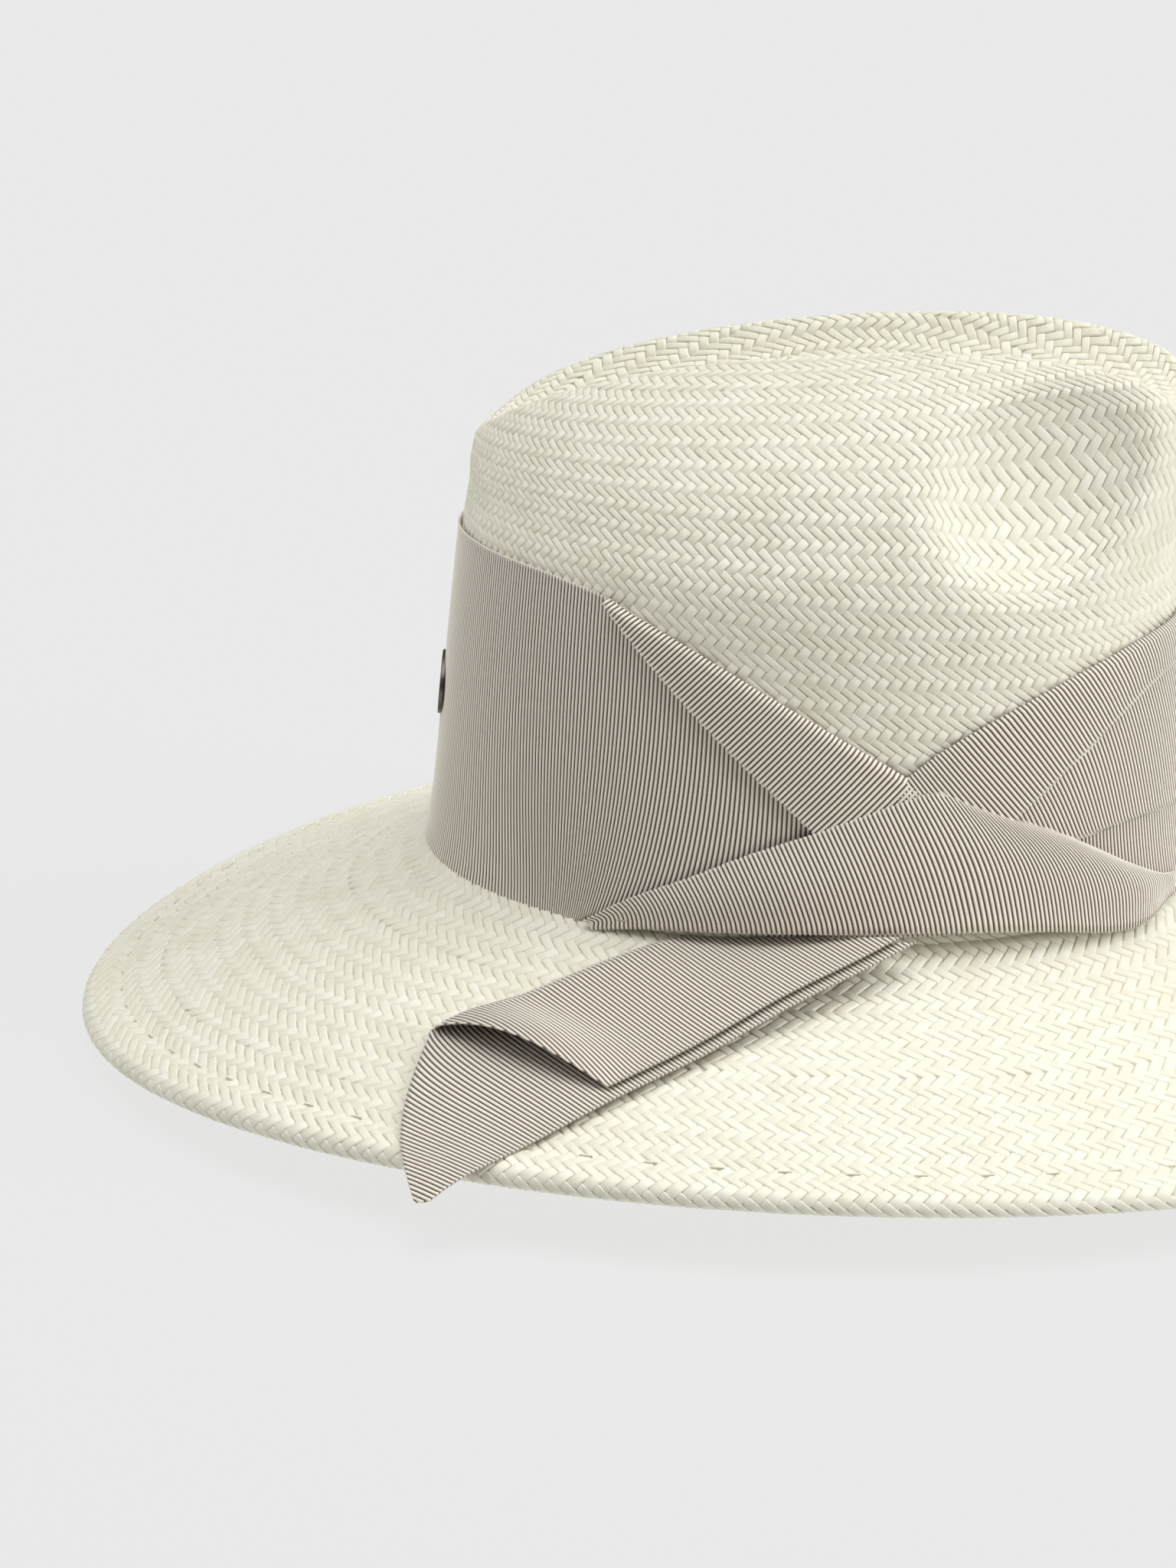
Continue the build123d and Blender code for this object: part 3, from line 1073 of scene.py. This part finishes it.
        outside = self.crown_surface(0.0, True)
        rows = self.crown_rows(1.0, top - self.tip_gap)
        split = self.side_share * top
        for name, part in (
            ("crown_straws_side", [r for r in rows if r.height <= split]),
            ("crown_straws_tip", [r for r in rows if r.height > split]),
        ):
            piece = weave_piece(
                name, self.weave, part, outside, Detail.OUTSIDE, 11, over_band, 1.0
            )
            register(piece, straw, "hat", ["straw_crown"])
        shell = self.shell("crown_backing", outside, 0.0, top, 96, 1.0)
        register(shell, backing, "hat")
        inside = self.crown_surface(CROWN_DEPTH)
        rows = self.crown_rows(self.lining_start, top - self.tip_gap)
        piece = weave_piece(
            "crown_straws_inside", self.weave, rows, inside, Detail.INSIDE, 12, None, -1.0
        )
        register(piece, straw, "hat")
        upper = Weave(row_height=self.brim_row_height)
        rows = self.brim_rows(0.6, hem_end)
        sewn = mean - BRIM.hem_width
        for name, node, part, seed in (
            ("brim_straws", "straw_brim", [r for r in rows if r.height <= sewn], 13),
            ("hem_straws", "brim_hem", [r for r in rows if r.height > sewn], 14),
        ):
            piece = weave_piece(
                name, upper, part, self.brim_surface, Detail.OUTSIDE, seed, None, -1.0
            )
            register(piece, straw, "hat", [node])
        rows = self.brim_rows(0.6, mean - 11.0)
        piece = weave_piece(
            "brim_straws_under", upper, rows, self.under_surface, Detail.INSIDE, 15, None, 1.0
        )
        register(piece, straw, "hat")
        shell = self.shell("brim_backing", self.brim_surface, 0.0, hem_end + 1.0, 60, -1.0)
        register(shell, backing, "hat")
        shell = self.shell("brim_backing_under", self.under_surface, 0.0, mean - 9.0, 24, 1.0)
        register(shell, backing, "hat")


CROWN_DEPTH = 1.6


# ---- Ribbon ----------------------------------------------------------------------------


class Selvage(Enum):
    """Which ends of the ribs are woven edges, with their small loops."""

    NONE = (0, 0)
    START = (1, 0)
    END = (0, 1)
    BOTH = (1, 1)


@dataclass(frozen=True)
class Ribs:
    """The ribbon's ribs."""

    pitch: float = 1.15
    height: float = 0.36
    loop: float = 0.6
    selvage: float = 0.7
    edge_rise: float = 0.14
    thickness: float = 0.55
    steps: int = 4

    def columns(self, length: float) -> int:
        """Grid columns along a run of this length."""
        return max(1, round(length / self.pitch)) * self.steps


def ribbed_piece(
    name: str,
    length: float,
    rows: int,
    place: Callable[[Array, Array], Array],
    selvage: Selvage,
    ribs: Ribs,
    width: Callable[[Array], Array],
) -> bpy.types.Object:
    """A run of ribbon.

    Args:
        name: the piece's name.
        length: the run's length across its ribs.
        rows: grid rows along a rib.
        place: point from the way along the run and the share of the rib, which may pass 0 or 1.
        selvage: which rib ends are woven edges.
        ribs: the ribs' sizes.
        width: the rib's length at each way along the run.

    Returns:
        The finished piece, with its thickness.
    """
    piece = grid_piece(name, ribs.columns(length), rows)
    count = round(length / ribs.pitch)

    start, end = selvage.value

    def spread(way: Array, up: Array) -> Array:
        """Rows drawn close to each woven edge, so that it shows as a narrow border."""
        border = np.minimum(ribs.selvage / np.maximum(width(way), 1.0), 1 / rows)
        low = border if start else np.full_like(border, 1 / rows)
        high = border if end else np.full_like(border, 1 / rows)
        inner = low + (1 - low - high) * (up * rows - 1) / (rows - 2)
        share = np.where(up * rows < 0.5, 0.0, np.where(up * rows > rows - 0.5, 1.0, inner))
        return share

    def shaped(across: Array, up: Array) -> Array:
        """Point on the ribbed face."""
        way = across * length
        up = spread(way, up)
        phase = np.abs(np.sin(math.pi * across * count))
        loops = ribs.loop * phase**2 / np.maximum(width(way), 1.0)
        share = up - np.where(up <= 1e-6, loops * start, 0) + np.where(up >= 1 - 1e-6, loops * end, 0)
        points = place(way, share)
        step = 0.2
        beside = place(way + step, share) - place(way - step, share)
        above = place(way, share + 0.01) - place(way, share - 0.01)
        normal = unit(np.cross(beside, above))
        edged = np.where(up <= 1e-6, start, 0) + np.where(up >= 1 - 1e-6, end, 0)
        return points + normal * (ribs.height * phase + ribs.edge_rise * edged)[..., None]

    shares = shape_grid(piece, shaped)
    edged = np.where(shares[:, 1] <= 1e-6, start, 0) + np.where(shares[:, 1] >= 1 - 1e-6, end, 0)
    border = piece.data.attributes.new("selvage", "FLOAT", "POINT")
    border.data.foreach_set("value", edged.astype(np.float32))
    threads = shares[:, 1] * width(shares[:, 0] * length) / ribs.pitch
    lay_uv(piece, np.stack([shares[:, 0] * count, threads], -1))
    finish_modifier(
        piece, "SOLIDIFY", thickness=ribs.thickness * MM, offset=-1.0, use_even_offset=False
    )
    smooth(piece)
    return piece


def on_wall(arc: Array, z: Array, offset: Array) -> Array:
    """Point on the crown's wall at an arc from the middle of the trimmed side."""
    return CROWN.wall(TURN.angle(arc), z, offset)


@dataclass(frozen=True)
class Band:
    """The base ribbon round the crown."""

    start: float = 0.35
    foot_height: float = 44.6
    tied_rise: float = 5.2
    gather: float = -48.0
    gather_width: float = 36.0
    gather_share: float = 0.5
    head_arcs: tuple[float, ...] = (
        -139.3, -90.0, -60.0, -42.7, -18.8, 1.3, 20.7, 38.0, 46.0, 66.6, 94.3, 129.3, 150.0,
        210.0, 280.0, 350.0, 417.9,
    )
    head_levels: tuple[float, ...] = (
        129.0, 131.0, 130.2, 127.6, 118.0, 108.2, 97.6, 88.0, 93.0, 103.7, 111.8, 115.4, 116.4,
        120.0, 124.5, 127.5, 129.0,
    )

    def head(self, arc: Array) -> Array:
        """Height of the band's upper edge."""
        return curve_through(self.head_arcs, self.head_levels, arc)

    def foot(self, arc: Array) -> Array:
        """Height of the band's lower edge, drawn up a little under the tied wrap."""
        window = fade(arc, -52.0, -30.0) * (1 - fade(arc, 86.0, 104.0))
        return self.foot_height + self.tied_rise * window

    def build(self, ribbon: bpy.types.Material, ribs: Ribs) -> None:
        """Makes the band.

        Args:
            ribbon: the ribbon's finish.
            ribs: the ribs' sizes.
        """
        first = -TURN.round / 4
        length = TURN.round

        def place(way: Array, share: Array) -> Array:
            """Point on the band; its ribs lean a little where the wrap pulls them."""
            arc = first + way
            foot, head = self.foot(arc), self.head(arc)
            near = np.exp(-(((arc - self.gather) / self.gather_width) ** 2))
            low = (1 - np.clip(share, 0, 1)) ** 3
            pull = self.gather_share * (arc - self.gather) * near * low
            ease = 0.5 * np.sin(arc / 23.0) * np.sin(math.pi * np.clip(share, 0, 1)) ** 2
            swell = 0.6 * fade(arc, -60.0, -30.0) * (1 - fade(arc, -10.0, 20.0))
            swell = swell * (1 - np.clip(share, 0, 1)) ** 2
            snug = 0.35 * np.clip(share, 0, 1) ** 6
            offset = self.start + 0.5 + ease * 0.4 + swell - snug
            return on_wall(arc - pull, foot + (head - foot) * share, offset)

        piece = ribbed_piece(
            "ribbon_band_cloth",
            length,
            18,
            place,
            Selvage.BOTH,
            ribs,
            lambda way: self.head(first + way) - self.foot(first + way),
        )
        register(piece, ribbon, "hat", ["ribbon_band"])


@dataclass(frozen=True)
class WallRun:
    """A run of ribbon on the wall, given by the two ends of its ribs."""

    name: str
    node: str
    start_arcs: tuple[float, ...]
    start_levels: tuple[float, ...]
    end_arcs: tuple[float, ...]
    end_levels: tuple[float, ...]
    start_offset: float
    end_offset: float
    selvage: Selvage
    fold_at_end: bool = True
    bow: float = 0.0
    slack: float = 0.4
    roll_depth: float = 1.1
    roll_width: float = 1.6
    least_share: float = 0.31
    rows: int = 16

    def ways(self) -> Array:
        """Way along the run at each listed rib."""
        steps = np.hypot(np.diff(self.start_arcs), np.diff(self.start_levels))
        ends = np.hypot(np.diff(self.end_arcs), np.diff(self.end_levels))
        return np.concatenate([[0.0], np.cumsum(np.maximum(steps, ends * 0.8))])

    def build(self, ribbon: bpy.types.Material, ribs: Ribs, flat: Point2) -> bpy.types.Object:
        """Makes the run.

        Args:
            ribbon: the ribbon's finish.
            ribs: the ribs' sizes.
            flat: width and length of the cut piece, in metres; not used.

        Returns:
            The finished piece.
        """
        ways = self.ways()
        length = float(ways[-1])

        def ends(way: Array) -> tuple[Array, Array, Array, Array]:
            """Arc and level of both ends of the rib at a way along the run."""
            return tuple(
                curve_through(ways, values, way)
                for values in (self.start_arcs, self.start_levels, self.end_arcs, self.end_levels)
            )

        def place(way: Array, share: Array) -> Array:
            """Point on the run."""
            arc0, level0, arc1, level1 = ends(way)
            inner = np.clip(share, 0, 1)
            bend = self.bow * np.sin(math.pi * inner)
            arc = arc0 + (arc1 - arc0) * share + bend
            level = level0 + (level1 - level0) * share + bend
            offset = self.start_offset + (self.end_offset - self.start_offset) * inner
            offset = offset + self.slack * np.sin(math.pi * inner) ** 1.5
            if self.fold_at_end:
                rib = np.hypot(arc1 - arc0, level1 - level0)
                left = (1 - inner) * rib
                offset = offset - self.roll_depth * (1 - fade(left, 0.0, self.roll_width))
            return on_wall(arc, level, offset)

        def width(way: Array) -> Array:
            """Length of the rib."""
            arc0, level0, arc1, level1 = ends(way)
            return np.hypot(arc1 - arc0, level1 - level0)

        piece = ribbed_piece(self.name, length, self.rows, place, self.selvage, ribs, width)
        register(piece, ribbon, "hat", [self.node])
        seen = float(width(np.linspace(0, length, 200)).mean() * length) * MM * MM
        return piece


LEFT_FOLD = WallRun(
    name="ribbon_left_fold_cloth",
    node="ribbon_left_fold",
    start_arcs=(-42.4, -25.5, -9.6, 6.6, 22.0, 34.0),
    start_levels=(127.6, 112.1, 97.6, 83.0, 69.0, 60.0),
    end_arcs=(-42.0, -18.8, 1.3, 20.7, 40.0, 52.0),
    end_levels=(128.2, 118.9, 109.0, 98.3, 86.5, 77.0),
    start_offset=3.0,
    end_offset=2.2,
    selvage=Selvage.START,
)
RIGHT_LAYER = WallRun(
    name="ribbon_right_layer_cloth",
    node="ribbon_right_layer",
    start_arcs=(62.0, 79.5, 92.2, 121.5, 145.0, 165.0, 185.0),
    start_levels=(66.0, 69.4, 70.8, 70.0, 66.0, 58.0, 48.0),
    end_arcs=(48.0, 64.0, 80.0, 112.0, 140.0, 165.0, 185.0),
    end_levels=(90.0, 97.0, 104.0, 111.0, 112.0, 108.0, 92.0),
    start_offset=1.7,
    end_offset=1.5,
    selvage=Selvage.START,
    fold_at_end=False,
    bow=1.0,
)
RIGHT_STRIP = WallRun(
    name="ribbon_right_strip_cloth",
    node="ribbon_right_strip",
    start_arcs=(44.0, 62.4, 81.0, 93.7, 106.6, 127.9, 150.0, 175.0, 205.0),
    start_levels=(62.0, 76.8, 89.9, 97.5, 103.3, 107.2, 109.0, 112.0, 118.6),
    end_arcs=(30.0, 47.0, 70.0, 85.5, 102.0, 126.0, 149.0, 175.0, 205.0),
    end_levels=(84.0, 96.0, 106.0, 110.8, 114.2, 116.2, 116.9, 118.2, 119.9),
    start_offset=2.6,
    end_offset=2.2,
    selvage=Selvage.START,
)


@dataclass(frozen=True)
class KnotWrap:
    """The folded ribbon wrapped over the crossing."""

    top_arcs: tuple[float, ...] = (
        -41.5, -31.8, -15.3, -1.7, 15.3, 27.5, 37.9, 44.5, 52.9, 60.0, 75.7, 93.2, 106.9, 112.5,
    )
    top_levels: tuple[float, ...] = (
        47.6, 54.1, 62.3, 69.0, 75.8, 80.5, 84.0, 85.2, 81.6, 78.4, 71.4, 61.6, 53.9, 51.6,
    )
    foot_arcs: tuple[float, ...] = (
        -39.5, -28.0, -9.0, 6.0, 24.0, 37.0, 48.0, 56.0, 65.0, 71.5, 84.0, 97.0, 107.5, 112.8,
    )
    foot_levels: tuple[float, ...] = (
        47.0, 49.4, 51.6, 52.9, 53.4, 53.4, 53.0, 52.4, 51.4, 50.4, 48.0, 47.6, 49.6, 51.0,
    )
    head_offset: float = 3.2
    foot_offset: float = 7.0
    belly: float = 2.2
    bow: float = 3.0
    fold_share: float = 0.12
    rows: int = 26

    def build(self, ribbon: bpy.types.Material, ribs: Ribs) -> None:
        """Makes the wrap, with its lower fold turned in to the wall.

        Args:
            ribbon: the ribbon's finish.
            ribs: the ribs' sizes.
        """
        steps = np.hypot(np.diff(self.top_arcs), np.diff(self.top_levels))
        feet = np.hypot(np.diff(self.foot_arcs), np.diff(self.foot_levels))
        ways = np.concatenate([[0.0], np.cumsum((steps + feet) / 2)])
        length = float(ways[-1])

        def ends(way: Array) -> tuple[Array, Array, Array, Array]:
            """Arc and level of both ends of the rib."""
            return tuple(
                curve_through(ways, values, way)
                for values in (self.foot_arcs, self.foot_levels, self.top_arcs, self.top_levels)
            )

        def place(way: Array, share: Array) -> Array:
            """Point on the wrap: the first share of each rib is the fold's underside."""
            arc0, level0, arc1, level1 = ends(way)
            up = (share - self.fold_share) / (1 - self.fold_share)
            seen = np.clip(up, 0, None)
            tucked = np.clip(-up * (1 - self.fold_share) / self.fold_share, 0, 1)
            right = fade(way, 78.0, 110.0)
            bend = self.bow * (0.25 + 0.75 * right) * np.sin(math.pi * np.clip(seen, 0, 1))
            tall = np.hypot(arc1 - arc0, level1 - level0)
            full = fade(tall, 2.0, 22.0)
            foot = self.head_offset + (self.foot_offset - self.head_offset) * full
            offset = foot + (self.head_offset - foot) * seen**0.8
            offset = offset + self.belly * full * np.sin(math.pi * np.clip(seen, 0, 1))
            offset = offset - 1.6 * right * (1 - fade((1 - seen) * tall, 0.0, 2.5))
            offset = offset - (foot - 1.2) * tucked
            level = level0 + (level1 - level0) * seen + bend * 0.6
            level = level - 1.1 * (1 - np.clip(seen / 0.1, 0, 1)) ** 2 * (1 - tucked) + 1.5 * tucked
            return on_wall(arc0 + (arc1 - arc0) * seen + bend, level, offset)

        def width(way: Array) -> Array:
            """Length of the rib."""
            arc0, level0, arc1, level1 = ends(way)
            return np.hypot(arc1 - arc0, level1 - level0) + 6.0

        piece = ribbed_piece("knot_wrap_cloth", length, self.rows, place, Selvage.END, ribs, width)
        register(piece, ribbon, "hat", ["knot_wrap"])


@dataclass(frozen=True)
class TailLeaf:
    """One leaf of the tail: ribs from its selvage to the lengthwise fold, cut off at an angle."""

    name: str
    node: str
    body: str
    level: float
    selvage_start: Point2
    selvage_end: Point2
    cut_corner: Point2
    cut_tip: Point2
    end_lift: float
    held_by: str
    bend: tuple[Point3, Point3]
    cut_bulge: float = 0.0
    blunt: float = 0.0
    blunt_angle: float = math.pi / 4
    fold_level: float = -0.6
    origin: tuple[float, float, float] = (-18.1, -82.2, 48.0)
    along: tuple[float, float, float] = (-0.799, -0.5506, -0.2416)
    normal: tuple[float, float, float] = (-0.1162, -0.2527, 0.9605)
    root_axis: Point2 = (0.63, 0.777)
    root_reach: float = 1.5
    rows: int = 18

    def world(self, x: Array, y: Array, level: Array) -> Array:
        """Point over the tail's own plane."""
        d = np.array(self.along)
        n = np.array(self.normal)
        side = np.cross(n, d)
        return np.array(self.origin) + x[..., None] * d + y[..., None] * side + level[..., None] * n

    def settle(self, x: Array, y: Array, level: Array) -> Array:
        """The leaf's point, eased down on to the brim and over its edge."""
        points = self.world(x, y, level)
        height, past = BRIM.height(points[..., 0], points[..., 1])
        rest = height + 1.6 + (level + 1.6)
        points[..., 2] = smooth_max(points[..., 2] - 1.0, rest, 1.2)
        points[..., 2] -= 0.012 * past**2
        return points

    def build(self, ribbon: bpy.types.Material, ribs: Ribs, area: float) -> None:
        """Makes the leaf.

        Args:
            ribbon: the ribbon's finish.
            ribs: the ribs' sizes.
            area: the leaf's flat area in square metres; not used.
        """
        start = np.array(self.selvage_start)
        end = np.array(self.selvage_end)
        way_axis = (end - start) / np.linalg.norm(end - start)
        rib_axis = np.array([way_axis[1], -way_axis[0]])
        cut = np.array(self.cut_tip) - np.array(self.cut_corner)
        cut = cut / np.linalg.norm(cut)
        cut_normal = np.array([cut[1], -cut[0]])
        cut_reach = float(cut_normal @ np.array(self.cut_corner))
        root = -np.array(self.root_axis)
        blunt = np.array([math.cos(self.blunt_angle), math.sin(self.blunt_angle)])
        limits = (
            (root, -self.root_reach),
            (cut_normal, cut_reach),
            (np.array([0.0, -1.0]), 0.0),
            (blunt, float(blunt @ np.array(self.cut_tip)) - self.blunt),
        )
        tip = np.array(self.cut_tip)

        def reach(along: Array) -> tuple[Array, Array, Array]:
            """Selvage point of a rib this far along, and the rib's two ends measured from it."""
            point = start + along[..., None] * way_axis
            low = np.zeros_like(along)
            high = np.full_like(along, 200.0)
            for axis, limit in limits:
                slope = float(rib_axis @ axis)
                room = (limit - point @ axis) / slope
                if slope > 0:
                    high = np.minimum(high, room)
                else:
                    low = np.maximum(low, room)
            return point, low, high

        steps = np.linspace(0.0, 200.0, 4001)
        _, lows, highs = reach(steps)
        length = float(steps[highs > lows + 0.5].max())

        def span(way: Array) -> tuple[Array, Array, Array]:
            """The rib at a way along the run, which starts at the cut end."""
            point, low, high = reach(length - way)
            return point, low, np.maximum(high, low)

        def place(way: Array, share: Array) -> Array:
            """Point on the leaf."""
            point, low, high = span(way)
            out = low + (high - low) * share
            x = point[..., 0] + out * rib_axis[0]
            y = point[..., 1] + out * rib_axis[1]
            from_cut = cut_reach - (x * cut_normal[0] + y * cut_normal[1])
            along_cut = (x - self.cut_corner[0]) * cut[0] + (y - self.cut_corner[1]) * cut[1]
            share_cut = np.clip(along_cut / np.linalg.norm(tip - np.array(self.cut_corner)), 0, 1)
            lift = self.end_lift * (1 - fade(from_cut, 0.0, 22.0)) * np.sin(math.pi * share_cut**0.9)
            wave = 0.35 * np.sin(x / 9.0 + y / 17.0)
            rise = self.level + lift + wave
            rise = rise + (self.fold_level - self.level) * (1 - fade(y, 0.0, 2.2))
            line = self.cut_corner[0] + y * cut[0] / cut[1]
            near_end = np.clip((x - 25.0) / np.maximum(line - 25.0, 1.0), 0, 1)
            hump = np.sin(math.pi * np.clip(y / self.cut_tip[1], 0, 1))
            return self.settle(x + self.cut_bulge * hump * near_end**2, y, rise)

        def width(way: Array) -> Array:
            """Length of the rib."""
            _, low, high = span(way)
            return np.maximum(high - low, 0.5)

        piece = ribbed_piece(self.name, length, self.rows, place, Selvage.START, ribs, width)
        register(piece, ribbon, None, [self.node])
        root, free = (tuple(value * MM for value in point) for point in self.bend)
        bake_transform(piece)


UPPER_LEAF = TailLeaf(
    name="tail_upper_cloth",
    node="tail_upper_leaf",
    body="tail_flap",
    level=0.2,
    selvage_start=(-43.5, 35.3),
    selvage_end=(43.0, 50.0),
    cut_corner=(67.5, 0.0),
    cut_tip=(43.0, 50.0),
    end_lift=6.0,
    held_by="tail",
    bend=((-18.4, -88.0, 46.4), (-19.5, -113.1, 39.7)),
)
LOWER_LEAF = TailLeaf(
    name="tail_lower_cloth",
    node="tail_lower_leaf",
    body="tail",
    level=-1.4,
    selvage_start=(-46.0, 37.5),
    selvage_end=(98.5, 63.0),
    cut_corner=(68.5, 0.0),
    cut_tip=(98.5, 63.0),
    end_lift=0.0,
    cut_bulge=6.0,
    blunt=3.0,
    held_by="hat",
    bend=((1.6, -91.4, 47.1), (1.4, -96.2, 45.8)),
)


# ---- Inside ----------------------------------------------------------------------------


@dataclass(frozen=True)
class Sweatband:
    """The ribbed tape sewn inside the head opening."""

    foot: float = 45.0
    height: float = 30.0
    inset: float = 2.2

    def build(self, tape: bpy.types.Material, ribs: Ribs) -> None:
        """Makes the tape, its ribs facing the head.

        Args:
            tape: the tape's finish.
            ribs: its ribs' sizes.
        """
        length = TURN.round

        def place(way: Array, share: Array) -> Array:
            """Point on the tape's inner face."""
            return on_wall(-way, self.foot + self.height * share, np.full_like(way, -self.inset))

        piece = ribbed_piece(
            "sweatband_tape", length, 6, place, Selvage.BOTH, ribs, lambda way: np.full_like(way, self.height)
        )
        register(piece, tape, "hat", ["sweatband"])


# ---- Stage -----------------------------------------------------------------------------


@dataclass(frozen=True)
class Studio:
    """Pale floor, soft lights and the camera."""

    eye: tuple[float, float, float] = (0.233, -1.322, 0.492)
    pitch: float = 17.8
    yaw: float = -12.5
    lens: float = 125.1
    floor_size: float = 12.0

    def camera(self) -> None:
        """Places the camera."""
        data = bpy.data.cameras.new("camera")
        data.lens = self.lens
        data.sensor_width = 36.0
        data.clip_end = 50.0
        camera = bpy.data.objects.new("camera", data)
        bpy.context.scene.collection.objects.link(camera)
        camera.location = self.eye
        yaw, pitch = math.radians(self.yaw), math.radians(self.pitch)
        look = Vector(
            (math.sin(yaw) * math.cos(pitch), math.cos(yaw) * math.cos(pitch), -math.sin(pitch))
        )
        camera.rotation_euler = look.to_track_quat("-Z", "Y").to_euler()
        bpy.context.scene.camera = camera

    def floor(self) -> None:
        """A wide pale sweep that meets the background without a line."""
        deselect_all()
        bpy.ops.mesh.primitive_plane_add(size=self.floor_size, location=(0, 0, -0.0002))
        floor = bpy.context.active_object
        floor.name = "floor"
        finish = Finish("studio_floor", roughness=0.9, specular=0.1)
        finish.shader.inputs["Base Color"].default_value = (0.07, 0.07, 0.07, 1.0)
        finish.shader.inputs["Emission Color"].default_value = (1.0, 1.0, 1.0, 1.0)
        finish.shader.inputs["Emission Strength"].default_value = 0.73
        floor.data.materials.append(finish.material)

    def lamp(self, name: str, place: Sequence[float], spread: float, power: float) -> None:
        """Adds one far, soft light.

        Args:
            name: the light's name.
            place: where it shines from, towards the hat.
            spread: how wide it looks, in degrees.
            power: its strength.
        """
        data = bpy.data.lights.new(name, "SUN")
        data.angle = math.radians(spread)
        data.energy = power
        lamp = bpy.data.objects.new(name, data)
        bpy.context.scene.collection.objects.link(lamp)
        lamp.location = place
        lamp.rotation_euler = (-Vector(place)).to_track_quat("-Z", "Y").to_euler()

    def build(self) -> None:
        """Sets up the whole stage."""
        self.camera()
        self.floor()
        world = bpy.data.worlds.new("studio")
        bpy.context.scene.world = world
        world.use_nodes = True
        background = world.node_tree.nodes["Background"]
        background.inputs["Color"].default_value = (1.0, 1.0, 1.0, 1.0)
        background.inputs["Strength"].default_value = 0.08
        self.lamp("right", (1.8, -0.1, 1.0), 50.0, 2.1)
        self.lamp("over", (0.0, 0.01, 1.6), 50.0, 1.95)
        self.lamp("left", (-1.3, -0.3, 1.0), 50.0, 0.65)
        bpy.context.scene.view_settings.view_transform = "Standard"


def dress_frame(finishes: dict[str, bpy.types.Material]) -> None:
    """Gives the CAD nodes that stay their finishes.

    Args:
        finishes: a material for each node's name.
    """
    for node, material in finishes.items():
        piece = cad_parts[node]
        piece.data.materials.clear()
        piece.data.materials.append(material)


def main() -> None:
    """Builds the hat and its stage."""
    logging.basicConfig(level=logging.INFO)
    straw = StrawFinish().make()
    backing = StrawBackingFinish().make()
    ribbon = RibbonFinish().make()
    # The tape's pale and dark colours are a painted highlight on its rib crests and painted shade in its
    # grooves.
    tape = RibbonFinish("sweatband_tape", (0.72, 0.68, 0.6, 1.0), (0.4, 0.36, 0.3, 1.0)).make()
    thread = PlainFinish("straw_thread", (0.8, 0.77, 0.64, 1), (0.88, 0.86, 0.75, 1), 0.6).make()
    ribbon_thread = PlainFinish("ribbon_thread", (0.4, 0.34, 0.27, 1), (0.55, 0.48, 0.4, 1), 0.7).make()
    metal = PlainFinish(
        "dark_metal", (0.12, 0.11, 0.10, 1), (0.2, 0.19, 0.17, 1), 0.38, 1.0, 2500.0, 0.02
    ).make()
    label = PlainFinish("label_cloth", (0.75, 0.73, 0.68, 1), (0.86, 0.85, 0.8, 1), 0.6).make()
    reed = PlainFinish("reed", (0.7, 0.7, 0.66, 1), (0.8, 0.8, 0.76, 1), 0.5).make()
    ribs = Ribs()
    StrawBody().build(straw, backing)
    Band().build(ribbon, ribs)
    LEFT_FOLD.build(ribbon, ribs, (0.04, 0.11))
    RIGHT_LAYER.build(ribbon, ribs, (0.05, 0.14))
    RIGHT_STRIP.build(ribbon, ribs, (0.03, 0.19))
    KnotWrap().build(ribbon, ribs)
    UPPER_LEAF.build(ribbon, ribs, 0.004)
    LOWER_LEAF.build(ribbon, ribs, 0.006)
    Sweatband().build(tape, Ribs(height=0.15))
    dress_frame(
        {
            "hem_stitches": thread,
            "sweatband_stitches": thread,
            "tack_stitches": ribbon_thread,
            "badge_plate": metal,
            "badge_washer": metal,
            "size_label": label,
            "brim_reed": reed,
        }
    )
    Studio().build()


if __name__ == "__main__":
    main()
